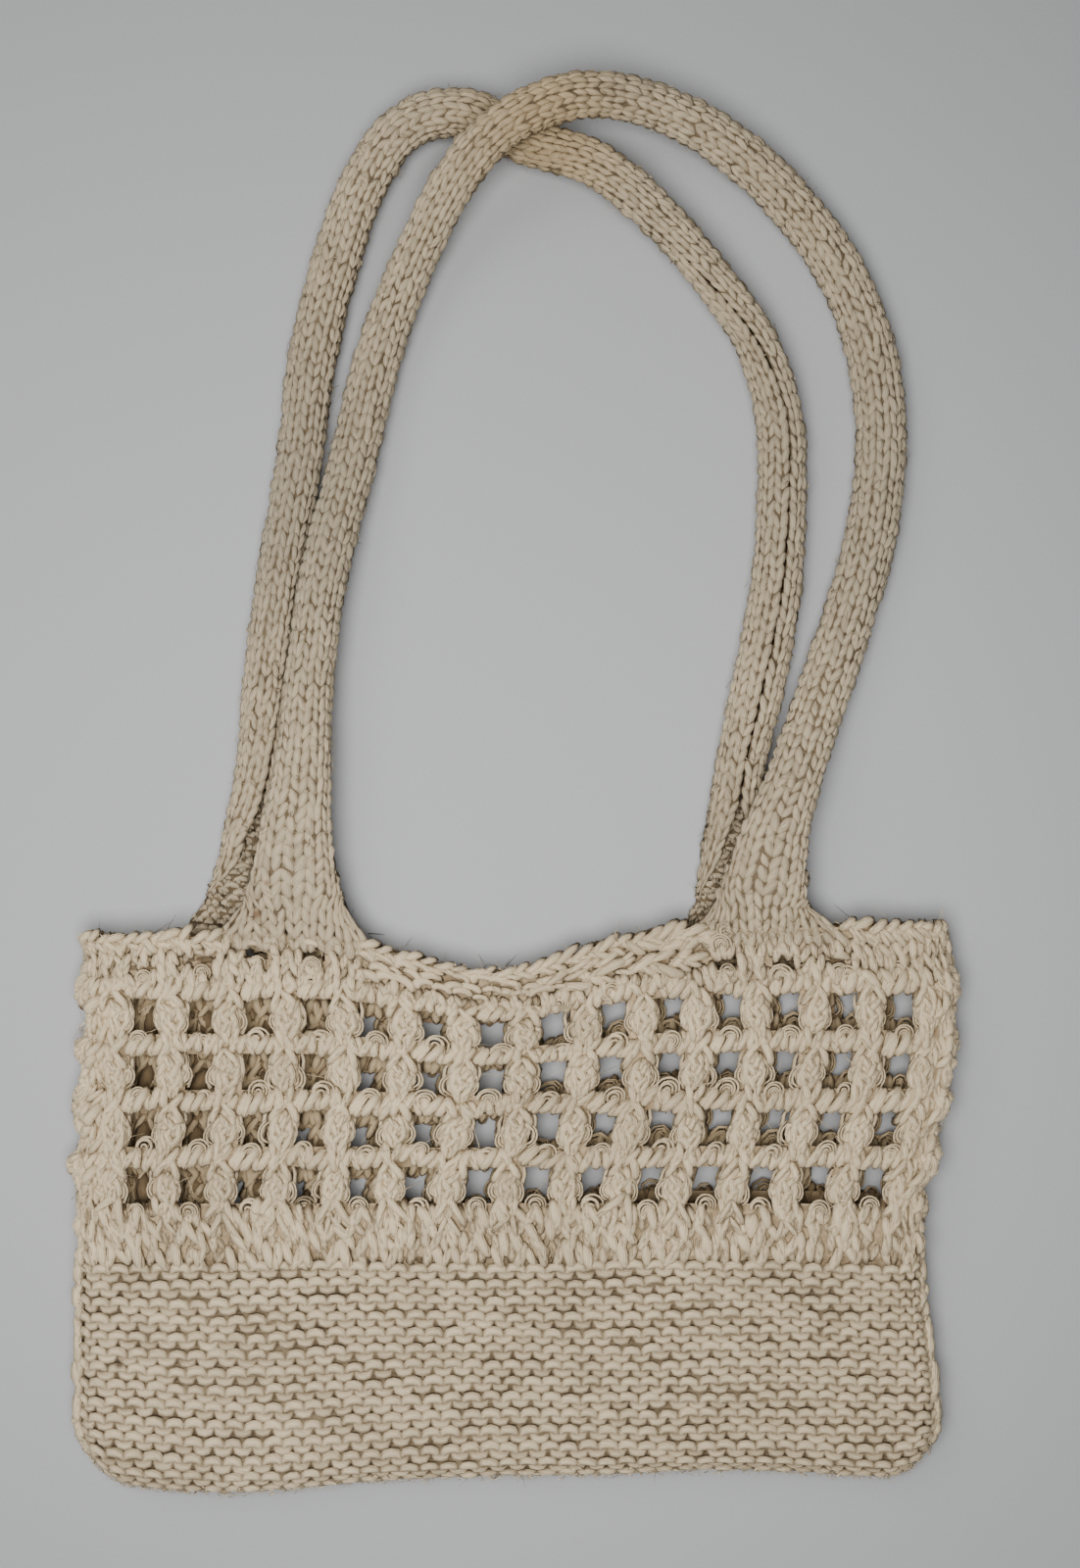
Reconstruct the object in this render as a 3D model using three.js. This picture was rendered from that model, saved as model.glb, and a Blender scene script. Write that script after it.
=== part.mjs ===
// Hand-knitted cotton shoulder bag, lying empty on its back.
// Two knitted panels, garter stitch below and an openwork net above, meet along their sides and
// bottom edge. Each panel carries one long handle, a knitted strip rolled into a soft tube.
// Millimetres. X runs across the bag, Y from its bottom edge to the handles, Z up.

import * as THREE from "three";

// Body
const BODY_WIDTH = 300;
const BODY_HEIGHT = 190;
const BODY_DEPTH = 16;
const WALL = 4.5;
const CORNER_RADIUS = 22;
const JOIN_GAP = 0.3;
const ROOT_GAP = 0.65;
const FRONT_SAG = 1.2;

// Garter stitch: ridges across the lower part of a panel
const RIDGES = 14;
const RIDGE_PITCH = 5.6;
const RIDGE_DEPTH = 1.2;
const CREST_START = 0.3;
const CREST_END = 0.7;
const GARTER_TOP = 75;
const BAND_SLOPE = 1.5;

// Openwork net: columns of bobbles, crossed by bars
const COLUMNS = 15;
const NET_ROWS = 4;
const COLUMN_PITCH = 19.25;
const ROW_PITCH = 19.8;
const FIRST_GAP_CENTRE = 101;
const GAP_WIDTH = 9.6;
const GAP_HEIGHT = 12;
const BOBBLE_BULGE = 0.9;
const CORD_ROUNDING = 1.9;
const NECK_DEPTH = 0.9;
const FIRST_ROW_SLOPE = 2;

// Border along the mouth, with small eyelets below the handle roots
const EYELET_BOTTOM = 179.5;
const EYELET_TOP = 184.5;
const EYELET_WIDTH = 6.5;
const EYELET_COLUMNS = [2, 3, 10, 11];
const EYELET_RISE = { left: 1.5, right: -4 };
const BORDER_GROOVE = 0.8;
const BORDER_SLOPE = 2;

// How finely the rolled edges and the plain inside face are divided
const EDGE_STEPS = 3;
const INNER_RIDGE_STEP = 4;

// How the cloth has settled: the net leans to the right, the right side is drawn in above the
// corner, the end bobbles stick out at the sides, the bottom edge waves and the mouth dips.
const LEAN = { middle: 6.5, spread: 4, from: 100, reach: 120 };
const WAIST = { depth: 5, from: 20, reach: 50 };
const SIDE_LOBE = { left: 3.6, right: 1.6, above: 8 };
const SIDE_SHARE = 0.88;
const LEFT_SPREAD = { shift: -3, from: -50, to: 20 };
const BOTTOM_WAVES = [
  { centre: 0, reach: 500, lift: -2.6 },
  { centre: -98, reach: 40, lift: -5 },
  { centre: 5, reach: 35, lift: 1 },
  { centre: 78, reach: 42, lift: 3.2 },
];
const MOUTH_DIP = { centre: -8, reach: 37, front: 14, back: 15, tilt: 2.3 };
// The back panel's net lies a little off the front one's.
const BACK_NET_DRIFT = [
  { at: -142, across: -14, up: -6 },
  { at: -106, across: -13.5, up: -8 },
  { at: -60, across: -7, up: -8 },
  { at: -20, across: -2, up: -5 },
  { at: 10, across: 0, up: 0 },
  { at: 35, across: 1.5, up: 3 },
  { at: 100, across: 5, up: 3 },
  { at: 142, across: 6, up: 2 },
];

// Handles: a row for each section, from the left root over the top to the right root.
// flat is 1 where the strip lies open at its root and 0 where it is rolled into a tube.
const FRONT_HANDLE = [
  { x: -74, y: 190, z: 13.2, width: 50, thick: 4.5, flat: 1 },
  { x: -74, y: 198, z: 13.4, width: 37, thick: 5, flat: 0.9 },
  { x: -74, y: 207, z: 13.8, width: 31, thick: 6.5, flat: 0.7 },
  { x: -73, y: 224, z: 15.3, width: 25, thick: 9, flat: 0.4 },
  { x: -70.3, y: 250, z: 15.5, width: 20, thick: 12, flat: 0 },
  { x: -68.5, y: 278, z: 13.5, width: 17.5, thick: 13, flat: 0 },
  { x: -63.5, y: 314, z: 12, width: 17.5, thick: 13, flat: 0 },
  { x: -54, y: 354, z: 7.6, width: 17.5, thick: 13, flat: 0 },
  { x: -46, y: 388, z: 6.5, width: 17, thick: 13, flat: 0 },
  { x: -31, y: 426, z: 10.5, width: 16, thick: 13, flat: 0 },
  { x: -15, y: 451, z: 19, width: 16, thick: 13, flat: 0 },
  { x: 0, y: 464, z: 24, width: 16, thick: 13, flat: 0 },
  { x: 24, y: 474.5, z: 21.5, width: 16, thick: 13, flat: 0 },
  { x: 48, y: 474, z: 16.5, width: 16, thick: 13, flat: 0 },
  { x: 77, y: 460.5, z: 12.5, width: 17, thick: 13, flat: 0 },
  { x: 103, y: 437, z: 9, width: 17.5, thick: 13, flat: 0 },
  { x: 121, y: 409, z: 7, width: 18, thick: 13, flat: 0 },
  { x: 130, y: 372, z: 6.5, width: 18.5, thick: 13, flat: 0 },
  { x: 127.5, y: 330, z: 6.5, width: 18.5, thick: 13, flat: 0 },
  { x: 117, y: 292, z: 6.8, width: 19, thick: 13, flat: 0 },
  { x: 107, y: 264, z: 9, width: 19.5, thick: 13, flat: 0 },
  { x: 98.5, y: 241, z: 14.7, width: 20, thick: 12, flat: 0 },
  { x: 92, y: 222, z: 14.9, width: 24, thick: 9, flat: 0.4 },
  { x: 89, y: 206, z: 13.8, width: 29, thick: 6.5, flat: 0.7 },
  { x: 88, y: 198, z: 13.4, width: 34, thick: 5, flat: 0.9 },
  { x: 88, y: 191, z: 13.2, width: 48, thick: 4.5, flat: 1 },
];
const BACK_HANDLE = [
  { x: -92.5, y: 189, z: 2.3, width: 40, thick: 4.5, flat: 1 },
  { x: -91.5, y: 197, z: 2.7, width: 32, thick: 5, flat: 0.9 },
  { x: -90.5, y: 206, z: 3.5, width: 27, thick: 6.5, flat: 0.7 },
  { x: -89, y: 223, z: 4.9, width: 22.5, thick: 9.5, flat: 0.4 },
  { x: -87, y: 245, z: 6.1, width: 18, thick: 12, flat: 0 },
  { x: -85, y: 275, z: 6.5, width: 16.5, thick: 13, flat: 0 },
  { x: -80, y: 314, z: 6.5, width: 16.5, thick: 13, flat: 0 },
  { x: -73, y: 354, z: 6.5, width: 17, thick: 13, flat: 0 },
  { x: -69, y: 386, z: 6.5, width: 17.5, thick: 13, flat: 0 },
  { x: -61, y: 420, z: 6.5, width: 17.5, thick: 13, flat: 0 },
  { x: -50, y: 450, z: 8, width: 17, thick: 13, flat: 0 },
  { x: -35, y: 469, z: 10, width: 17, thick: 13, flat: 0 },
  { x: -15, y: 473.5, z: 10, width: 17, thick: 13, flat: 0 },
  { x: 5, y: 464, z: 10, width: 16.5, thick: 13, flat: 0 },
  { x: 30, y: 455, z: 12, width: 16, thick: 13, flat: 0 },
  { x: 52, y: 436.5, z: 13, width: 15, thick: 13, flat: 0 },
  { x: 72, y: 414, z: 11.5, width: 15, thick: 13, flat: 0 },
  { x: 87, y: 393, z: 9, width: 16, thick: 13, flat: 0 },
  { x: 95, y: 366, z: 6.8, width: 17.5, thick: 13, flat: 0 },
  { x: 95.5, y: 335, z: 6.5, width: 18, thick: 13, flat: 0 },
  { x: 93, y: 304, z: 6.5, width: 19, thick: 13, flat: 0 },
  { x: 87, y: 273, z: 6.5, width: 19, thick: 13, flat: 0 },
  { x: 81, y: 245, z: 6.1, width: 18, thick: 12, flat: 0 },
  { x: 79.5, y: 226, z: 4.9, width: 21, thick: 9.5, flat: 0.4 },
  { x: 79, y: 209, z: 3.5, width: 25, thick: 6.5, flat: 0.7 },
  { x: 79.5, y: 199, z: 2.7, width: 28, thick: 5, flat: 0.9 },
  { x: 80, y: 191, z: 2.3, width: 36, thick: 4.5, flat: 1 },
];
const SECTION_POINTS = 12;
const STEPS_PER_ROW = 2;
const ROLLED_POWER = 2.3;
const FLAT_POWER = 6;
const ROLL_GROOVE = 1.8;
const GROOVE_POINT = { front: 9, back: 3 };

const COTTON = { color: 0xcfc3ab, roughness: 0.92, metalness: 0 };

// Worked out from the sizes above
const EDGE_RADIUS = BODY_DEPTH / 2;
const EDGE_ARC = (EDGE_RADIUS * Math.PI) / 2;
const FLAT_HALF = BODY_WIDTH / 2 - EDGE_RADIUS;
const CORNER_X = BODY_WIDTH / 2 - CORNER_RADIUS;
const CORNER_FLAT = CORNER_RADIUS - EDGE_RADIUS;
const CORNER_REACH = CORNER_FLAT + EDGE_ARC;
const NET_BOTTOM = FIRST_GAP_CENTRE - GAP_HEIGHT / 2;
const FRONT = 1;
const BACK = -1;

const bell = (distance, reach) => Math.exp(-((distance / reach) ** 2));
const clamp = THREE.MathUtils.clamp;
const lerp = THREE.MathUtils.lerp;
const smooth = (value) => THREE.MathUtils.smoothstep(value, 0, 1);

// The value of one column of a table at a place between two of its rows.
function tableValue(table, column, place) {
  const next = table.findIndex((row) => row.at >= place);
  if (next < 1) return table.at(next)[column];
  const low = table[next - 1];
  const high = table[next];
  return lerp(low[column], high[column], (place - low.at) / (high.at - low.at));
}

// How far the cloth at (x, y) has moved in its plane since it was laid out square.
function settled(x, y, side) {
  const across = clamp(x / (BODY_WIDTH / 2), -1, 1);
  const low = clamp(1 - y / NET_BOTTOM, 0, 1) ** 2;
  const high = clamp((y - NET_BOTTOM) / (BODY_HEIGHT - NET_BOTTOM), 0, 1) ** 2;
  const lean = LEAN.middle + LEAN.spread * Math.sin((Math.PI / 2) * across);
  const swing = y > LEAN.from ? Math.sin((Math.PI * (y - LEAN.from)) / LEAN.reach) : 0;
  const atSide = smooth((Math.abs(across) - SIDE_SHARE) / (1 - SIDE_SHARE));
  const waist = across > 0 ? WAIST.depth * smooth((y - WAIST.from) / WAIST.reach) : 0;
  const lobePhase = (Math.PI * (y - FIRST_GAP_CENTRE - SIDE_LOBE.above)) / ROW_PITCH;
  const lobeSize = across > 0 ? SIDE_LOBE.right : -SIDE_LOBE.left;
  const lobe = y > NET_BOTTOM && y < EYELET_BOTTOM ? lobeSize * Math.cos(lobePhase) ** 2 : 0;
  const toLeft = 1 - smooth((x - LEFT_SPREAD.from) / (LEFT_SPREAD.to - LEFT_SPREAD.from));
  const spread = LEFT_SPREAD.shift * toLeft * smooth((y - GARTER_TOP) / (NET_BOTTOM - GARTER_TOP));
  const wave = BOTTOM_WAVES.reduce((sum, w) => sum + w.lift * bell(x - w.centre, w.reach), 0);
  const dip = side === FRONT ? MOUTH_DIP.front : MOUTH_DIP.back;
  const mouth = MOUTH_DIP.tilt * across - dip * bell(x - MOUTH_DIP.centre, MOUTH_DIP.reach);
  const moved = new THREE.Vector2(
    x + lean * swing + atSide * (lobe - waist) + (1 - atSide) * spread,
    y + wave * low + mouth * high,
  );
  return side === FRONT ? moved : moved.add(netShift(x, y));
}

// The back panel's own shift, which dies out towards its joined edges and its mouth.
function netShift(x, y) {
  const across = tableValue(BACK_NET_DRIFT, "across", x);
  const up = tableValue(BACK_NET_DRIFT, "up", x);
  const inside = 1 - (Math.min(Math.abs(x), FLAT_HALF) / FLAT_HALF) ** 10;
  const rise = clamp((y - GARTER_TOP) / (BODY_HEIGHT - GARTER_TOP), 0, 1);
  const share = inside * Math.sqrt(Math.sin(Math.PI * rise));
  return new THREE.Vector2(across, up).multiplyScalar(share);
}

// The point of a panel whose cloth, rolled out flat, is at (across, up), at a height above or
// below the panel's outer face. Beyond the flat part the cloth rolls over a round edge.
function panelPoint(across, up, lift, side) {
  const p = Math.max(Math.abs(across) - CORNER_X, 0) / CORNER_REACH;
  const q = Math.max(CORNER_RADIUS - up, 0) / CORNER_REACH;
  const out = new THREE.Vector2(p * Math.sqrt(1 - (q * q) / 2), -q * Math.sqrt(1 - (p * p) / 2));
  const reach = out.length() * CORNER_REACH;
  const angle = Math.max(reach - CORNER_FLAT, 0) / EDGE_RADIUS;
  const radial = Math.min(reach, CORNER_FLAT) + (EDGE_RADIUS + lift) * Math.sin(angle);
  out.setLength(reach > 0 ? radial : 0);
  const sign = Math.sign(across) || 1;
  const x = sign * (Math.min(Math.abs(across), CORNER_X) + out.x);
  const y = Math.max(up, CORNER_RADIUS) + out.y;
  const plan = settled(x, y, side);
  const sag = side === FRONT ? FRONT_SAG * (1 - (x / (BODY_WIDTH / 2)) ** 2) : 0;
  const height = JOIN_GAP / 2 + (EDGE_RADIUS - JOIN_GAP / 2 + lift - sag) * Math.cos(angle);
  return new THREE.Vector3(plan.x, plan.y, BODY_DEPTH / 2 + side * height);
}

// The lines across a panel: the rolled edges, and for each column its middle and its two sides.
function panelColumns() {
  const columns = [];
  const half = (COLUMNS - 1) / 2;
  const edgeLine = (step) => ({ at: FLAT_HALF + (EDGE_ARC * step) / EDGE_STEPS, coarse: true });
  for (let step = EDGE_STEPS; step >= 0; step--) {
    const line = edgeLine(step);
    columns.push({ ...line, at: -line.at });
  }
  for (let k = 0; k < COLUMNS; k++) {
    const middle = (k - half) * COLUMN_PITCH;
    columns.push({ at: middle, coarse: k % 2 === 0, cord: true });
    if (k === COLUMNS - 1) break;
    const gapMiddle = middle + COLUMN_PITCH / 2;
    columns.push({ at: gapMiddle - GAP_WIDTH / 2, gapSide: -1, gap: k, gapMiddle });
    columns.push({ at: gapMiddle + GAP_WIDTH / 2, gapSide: 1, gapMiddle });
  }
  for (let step = 0; step <= EDGE_STEPS; step++) columns.push(edgeLine(step));
  return columns;
}

// The lines up a panel, with how deep the outer face lies there. inner marks the garter lines
// that the plain inside face uses too, and fine the lines that have every column.
function panelRows() {
  const bottom = CORNER_RADIUS - CORNER_REACH;
  const rows = [{ at: bottom, depth: 0, inner: true }];
  for (let i = 0; i < RIDGES; i++) {
    const start = GARTER_TOP - (RIDGES - i) * RIDGE_PITCH;
    const atEdge = start < EDGE_RADIUS;
    rows.push({ at: start, depth: RIDGE_DEPTH, inner: atEdge || i % INNER_RIDGE_STEP === 0 });
    rows.push({ at: start + CREST_START * RIDGE_PITCH, depth: 0 });
    rows.push({ at: start + CREST_END * RIDGE_PITCH, depth: 0 });
  }
  rows.push({ at: GARTER_TOP, depth: RIDGE_DEPTH, inner: true });
  rows.push({ at: GARTER_TOP + BAND_SLOPE, depth: 0, inner: true });
  rows.push({ at: NET_BOTTOM - FIRST_ROW_SLOPE, depth: 0, fine: true });
  for (let i = 0; i < NET_ROWS; i++) {
    const middle = FIRST_GAP_CENTRE + i * ROW_PITCH;
    rows.push({ at: middle - GAP_HEIGHT / 2, depth: NECK_DEPTH, fine: true, net: true, open: true });
    rows.push({ at: middle, depth: 0, fine: true, net: true, open: true, bulge: BOBBLE_BULGE });
    rows.push({ at: middle + GAP_HEIGHT / 2, depth: NECK_DEPTH, fine: true, net: true });
    rows.push({ at: middle + ROW_PITCH / 2, depth: NECK_DEPTH / 2, fine: true, bar: true });
  }
  rows.push({ at: EYELET_BOTTOM, depth: BORDER_GROOVE, fine: true, eyelet: true, opensEyelet: true });
  rows.push({ at: EYELET_TOP, depth: BORDER_GROOVE, fine: true, eyelet: true });
  rows.push({ at: BODY_HEIGHT - BORDER_SLOPE, depth: 0, fine: true });
  rows.push({ at: BODY_HEIGHT, depth: 0, fine: true });
  return rows;
}

// Where a line across meets a line up: the cloth's place there and the depth of its outer face.
function crossing(row, column) {
  let across = column.at;
  let up = row.at;
  let depth = row.depth;
  if (column.gapSide) {
    if (row.bulge) across -= column.gapSide * row.bulge;
    if (row.eyelet) across = column.gapMiddle + (column.gapSide * EYELET_WIDTH) / 2;
    if (row.net) depth = CORD_ROUNDING;
    if (row.bar) depth = NECK_DEPTH;
  }
  if (row.eyelet) up += column.at < 0 ? EYELET_RISE.left : EYELET_RISE.right;
  return { across, up, depth };
}

// A closed cloth mesh, made of strips of triangles between runs of points.
class Cloth {
  constructor() {
    this.points = [];
    this.faces = [];
  }

  add(point, at) {
    this.points.push(point);
    return { id: this.points.length - 1, at };
  }

  // Joins two runs of points that follow the same line, in step with their place on it.
  zip(low, high) {
    let i = 0;
    let j = 0;
    while (i < low.length - 1 || j < high.length - 1) {
      const lowNext = i < low.length - 1 ? low[i + 1].at : Infinity;
      const highNext = j < high.length - 1 ? high[j + 1].at : Infinity;
      if (lowNext <= highNext) {
        this.faces.push(low[i].id, low[i + 1].id, high[j].id);
        i += 1;
      } else {
        this.faces.push(low[i].id, high[j + 1].id, high[j].id);
        j += 1;
      }
    }
  }

  // Closes a rim, which runs with the cloth on its left as seen from outside.
  rim(inner, outer, backwards = false) {
    const turned = (run) => run.map(({ id, at }) => ({ id, at: -at })).reverse();
    if (backwards) this.zip(turned(inner), turned(outer));
    else this.zip(inner, outer);
  }

  geometry(turnedOver) {
    const made = new THREE.BufferGeometry().setFromPoints(this.points);
    if (turnedOver) this.faces.reverse();
    return made.setIndex(this.faces);
  }
}

function panelGeometry(side) {
  const cloth = new Cloth();
  const columns = panelColumns();
  const rows = panelRows();

  const run = (row, inside) =>
    columns
      .map((column, c) => ({ column, c }))
      .filter(({ column }) => row.fine || column.coarse)
      .map(({ column, c }) => {
        const { across, up, depth } = crossing(row, column);
        return cloth.add(panelPoint(across, up, inside ? -WALL : -depth, side), c);
      });
  const faces = {
    outer: rows.map((row) => run(row, false)),
    inner: rows.map((row) => (row.fine || row.inner ? run(row, true) : null)),
  };
  const isOpen = (r, c) => {
    const gap = columns[c].gap;
    if (gap === undefined) return false;
    return rows[r].open || (rows[r].opensEyelet && EYELET_COLUMNS.includes(gap));
  };
  const cell = (runOfPoints, c) => runOfPoints.slice(c, c + 2);
  const upright = (face, c, r) => [r, r + 1].map((n) => ({ id: face[n][c].id, at: n }));

  // Faces: strips between one line and the next, leaving out the gaps of the net.
  for (const [name, face] of Object.entries(faces)) {
    const join = (low, high) => (name === "outer" ? cloth.zip(low, high) : cloth.zip(high, low));
    let below = 0;
    for (let r = 1; r < rows.length; r++) {
      if (!face[r]) continue;
      if (rows[below].fine) {
        for (let c = 0; c < columns.length - 1; c++)
          if (!isOpen(below, c)) join(cell(face[below], c), cell(face[r], c));
      } else join(face[below], face[r]);
      below = r;
    }
  }

  // Walls round each gap.
  for (let r = 0; r < rows.length; r++) {
    for (let c = 0; c < columns.length; c++) {
      if (!isOpen(r, c)) continue;
      cloth.rim(upright(faces.inner, c, r), upright(faces.outer, c, r));
      cloth.rim(upright(faces.inner, c + 1, r), upright(faces.outer, c + 1, r), true);
      if (!isOpen(r - 1, c)) cloth.rim(cell(faces.inner[r], c), cell(faces.outer[r], c), true);
      if (!isOpen(r + 1, c)) cloth.rim(cell(faces.inner[r + 1], c), cell(faces.outer[r + 1], c));
    }
  }

  // Outer rim: the right side upwards, the mouth, the left side downwards and the bottom.
  const sideRun = (face, end) =>
    face.flatMap((points, r) => (points ? [{ id: points.at(end).id, at: r }] : []));
  cloth.rim(sideRun(faces.inner, -1), sideRun(faces.outer, -1));
  cloth.rim(sideRun(faces.inner, 0), sideRun(faces.outer, 0), true);
  cloth.rim(faces.inner[0], faces.outer[0]);
  cloth.rim(faces.inner.at(-1), faces.outer.at(-1), true);
  return cloth.geometry(side === BACK);
}

// The mouth line's Y at a settled x, which the root of a handle follows.
function mouthLine(x, side) {
  let laidOut = x;
  for (let i = 0; i < 4; i++) laidOut += x - settled(laidOut, BODY_HEIGHT, side).x;
  return settled(laidOut, BODY_HEIGHT, side).y;
}

// One point of a handle's section, as shares of half its width and half its thickness.
function sectionPoint(index, flat, groovePoint, thick) {
  const angle = (2 * Math.PI * index) / SECTION_POINTS;
  const power = 2 / lerp(ROLLED_POWER, FLAT_POWER, flat);
  const round = (value) => Math.sign(value) * Math.abs(value) ** power;
  const groove = index === groovePoint ? ((1 - flat) * ROLL_GROOVE) / (thick / 2) : 0;
  return { wide: round(Math.cos(angle)), high: round(Math.sin(angle)) * (1 - groove) };
}

function handleGeometry(sections, side) {
  const cloth = new Cloth();
  const path = new THREE.CatmullRomCurve3(
    sections.map(({ x, y, z }) => new THREE.Vector3(x, y, z)),
    false,
    "centripetal",
  );
  const groovePoint = side === FRONT ? GROOVE_POINT.front : GROOVE_POINT.back;
  const steps = (sections.length - 1) * STEPS_PER_ROW;
  const up = new THREE.Vector3(0, 0, 1);
  const rings = [];
  for (let step = 0; step <= steps; step++) {
    const share = step / steps;
    const place = Math.min(Math.floor(step / STEPS_PER_ROW), sections.length - 2);
    const between = step / STEPS_PER_ROW - place;
    const size = (name) => lerp(sections[place][name], sections[place + 1][name], between);
    const atRoot = step === 0 || step === steps;
    const middle = path.getPoint(share);
    const along = atRoot ? new THREE.Vector3(0, step === 0 ? 1 : -1, 0) : path.getTangent(share);
    const wideWay = new THREE.Vector3().crossVectors(along.setZ(0), up).normalize();
    const thick = size("thick");
    middle.z = Math.max(middle.z, thick / 2);
    const ring = [];
    for (let k = 0; k <= SECTION_POINTS; k++) {
      if (k === SECTION_POINTS) {
        ring.push({ id: ring[0].id, at: k });
        continue;
      }
      const { wide, high } = sectionPoint(k, size("flat"), groovePoint, thick);
      const point = middle
        .clone()
        .addScaledVector(wideWay, (wide * size("width")) / 2)
        .addScaledVector(up, (high * thick) / 2);
      if (atRoot) point.y = mouthLine(point.x, side) + ROOT_GAP;
      ring.push(cloth.add(point, k));
    }
    rings.push(ring);
  }
  for (let step = 0; step < steps; step++) cloth.zip(rings[step + 1], rings[step]);

  // End faces: strips across the root, from its underside points to its upper ones.
  const half = SECTION_POINTS / 2;
  for (const [ring, far] of [[rings[0], false], [rings[steps], true]]) {
    const upper = ring.slice(0, half + 1).map(({ id }, n) => ({ id, at: n }));
    const under = ring.slice(half).map(({ id }, n) => ({ id, at: half - n })).reverse();
    if (far) cloth.zip(under, upper);
    else cloth.zip(upper, under);
  }
  return cloth.geometry(false);
}

function clothMesh(name, geometry) {
  const mesh = new THREE.Mesh(geometry, new THREE.MeshStandardMaterial(COTTON));
  mesh.name = name;
  return mesh;
}

const bag = new THREE.Group();
bag.add(
  clothMesh("panel_front", panelGeometry(FRONT)),
  clothMesh("panel_back", panelGeometry(BACK)),
  clothMesh("handle_front", handleGeometry(FRONT_HANDLE, FRONT)),
  clothMesh("handle_back", handleGeometry(BACK_HANDLE, BACK)),
);

// The origin is under the middle of the whole bag, on the surface that it lies on.
const box = new THREE.Box3().setFromObject(bag);
const middle = box.getCenter(new THREE.Vector3());
for (const mesh of bag.children) mesh.position.set(-middle.x, -middle.y, -box.min.z);

export default bag;
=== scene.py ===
"""Dresses a hand-knitted cotton tote bag with its yarn, stitch by stitch."""

import logging
import math
from dataclasses import dataclass, field
from enum import Enum
from functools import partial
from typing import NamedTuple, Sequence

import bmesh
import bpy
import numpy as np
from mathutils import Matrix, Vector


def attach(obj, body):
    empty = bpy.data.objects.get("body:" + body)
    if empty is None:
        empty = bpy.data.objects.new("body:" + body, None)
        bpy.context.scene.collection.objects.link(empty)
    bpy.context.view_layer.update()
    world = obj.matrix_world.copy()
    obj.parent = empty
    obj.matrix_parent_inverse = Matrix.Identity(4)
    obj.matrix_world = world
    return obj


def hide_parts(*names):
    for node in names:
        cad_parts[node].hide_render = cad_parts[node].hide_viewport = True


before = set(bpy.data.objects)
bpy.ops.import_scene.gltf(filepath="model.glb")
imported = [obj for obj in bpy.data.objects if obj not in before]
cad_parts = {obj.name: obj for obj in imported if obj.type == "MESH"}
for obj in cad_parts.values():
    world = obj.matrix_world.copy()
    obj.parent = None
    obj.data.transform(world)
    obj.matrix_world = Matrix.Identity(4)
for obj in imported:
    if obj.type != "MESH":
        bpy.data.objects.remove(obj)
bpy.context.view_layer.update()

LOG = logging.getLogger("knitted_tote")
MM = 0.001
THREAD_WIDTH = 0.7  # width of one ply on the face of a yarn, in millimetres
FEWEST_THREADS = 5
BARE_RADIUS = 0.25  # radius up to which a strand shows no plies, in millimetres
SHORTEST = 1e-9  # length below which a direction is left as it is
HANDS = (-1.0, 1.0)  # left and right
UPRIGHT = (0.0, 0.0, 1.0)
PRESSED = 0.0015  # height below which yarn is flattened by the floor, in metres
CLOTH_ORIGIN = np.array((2.032, 238.031, 0.0))  # middle of the lying bag, in cloth millimetres

Knots = tuple[tuple[float, float, float], ...]
Colour = tuple[float, float, float]


class Side(Enum):
    """The face of the bag that a piece belongs to."""

    FRONT = 1
    BACK = -1

    @property
    def word(self) -> str:
        """Gives the side's name as the nodes spell it."""
        return self.name.lower()


def between(value: np.ndarray) -> np.ndarray:
    """Holds values between nought and one."""
    return np.clip(value, 0.0, 1.0)


def eased(value: np.ndarray) -> np.ndarray:
    """Eases a rising value in and out between nought and one."""
    held = between(value)
    return held * held * (3.0 - 2.0 * held)


def smooth_path(knots: np.ndarray, count: int) -> np.ndarray:
    """Runs a smooth line through points and spaces new points on it.

    Args:
        knots: the points to pass through, one a row, with any number of columns.
        count: how many points to return.

    Returns:
        The new points, evenly spread over the spans between the knots.
    """
    places = knots[:, :3]
    gaps = np.sqrt(np.linalg.norm(np.diff(places, axis=0), axis=1))
    first = 2.0 * knots[0] - knots[1]
    last = 2.0 * knots[-1] - knots[-2]
    rows = np.vstack((first, knots, last))
    steps = np.concatenate((gaps[:1], gaps, gaps[-1:]))
    spans = np.linspace(0.0, len(knots) - 1.0, count)
    index = np.minimum(spans.astype(int), len(knots) - 2)
    t = (spans - index)[:, None]
    p0, p1, p2, p3 = (rows[index + k] for k in range(4))
    d0, d1, d2 = (steps[index + k][:, None] for k in range(3))
    leave = (p1 - p0) / d0 - (p2 - p0) / (d0 + d1) + (p2 - p1) / d1
    reach = (p2 - p1) / d1 - (p3 - p1) / (d1 + d2) + (p3 - p2) / d2
    m1, m2 = leave * d1, reach * d1
    return (
        (2 * t**3 - 3 * t**2 + 1) * p1
        + (t**3 - 2 * t**2 + t) * m1
        + (3 * t**2 - 2 * t**3) * p2
        + (t**3 - t**2) * m2
    )


def unit(ways: np.ndarray, axis: int, least: float = SHORTEST) -> np.ndarray:
    """Brings directions to a length of one.

    Args:
        ways: the directions.
        axis: the axis along which their parts run.
        least: the length below which a direction stays short.

    Returns:
        The directions.
    """
    return ways / np.maximum(np.linalg.norm(ways, axis=axis, keepdims=True), least)


def run_along(line: np.ndarray) -> np.ndarray:
    """Measures how far each point lies along a line."""
    return np.concatenate(([0.0], np.cumsum(np.linalg.norm(np.diff(line, axis=0), axis=1))))


def handed(knots: Knots, hand: float) -> Knots:
    """Keeps a right-hand line where the hand is one, and mirrors it where the hand is minus one."""
    return tuple((hand * x, y, h) for x, y, h in knots)


def add_object(name: str, data: bpy.types.ID) -> bpy.types.Object:
    """Puts a mesh, light or camera into the scene under its name."""
    made = bpy.data.objects.new(name, data)
    bpy.context.scene.collection.objects.link(made)
    return made


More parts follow.
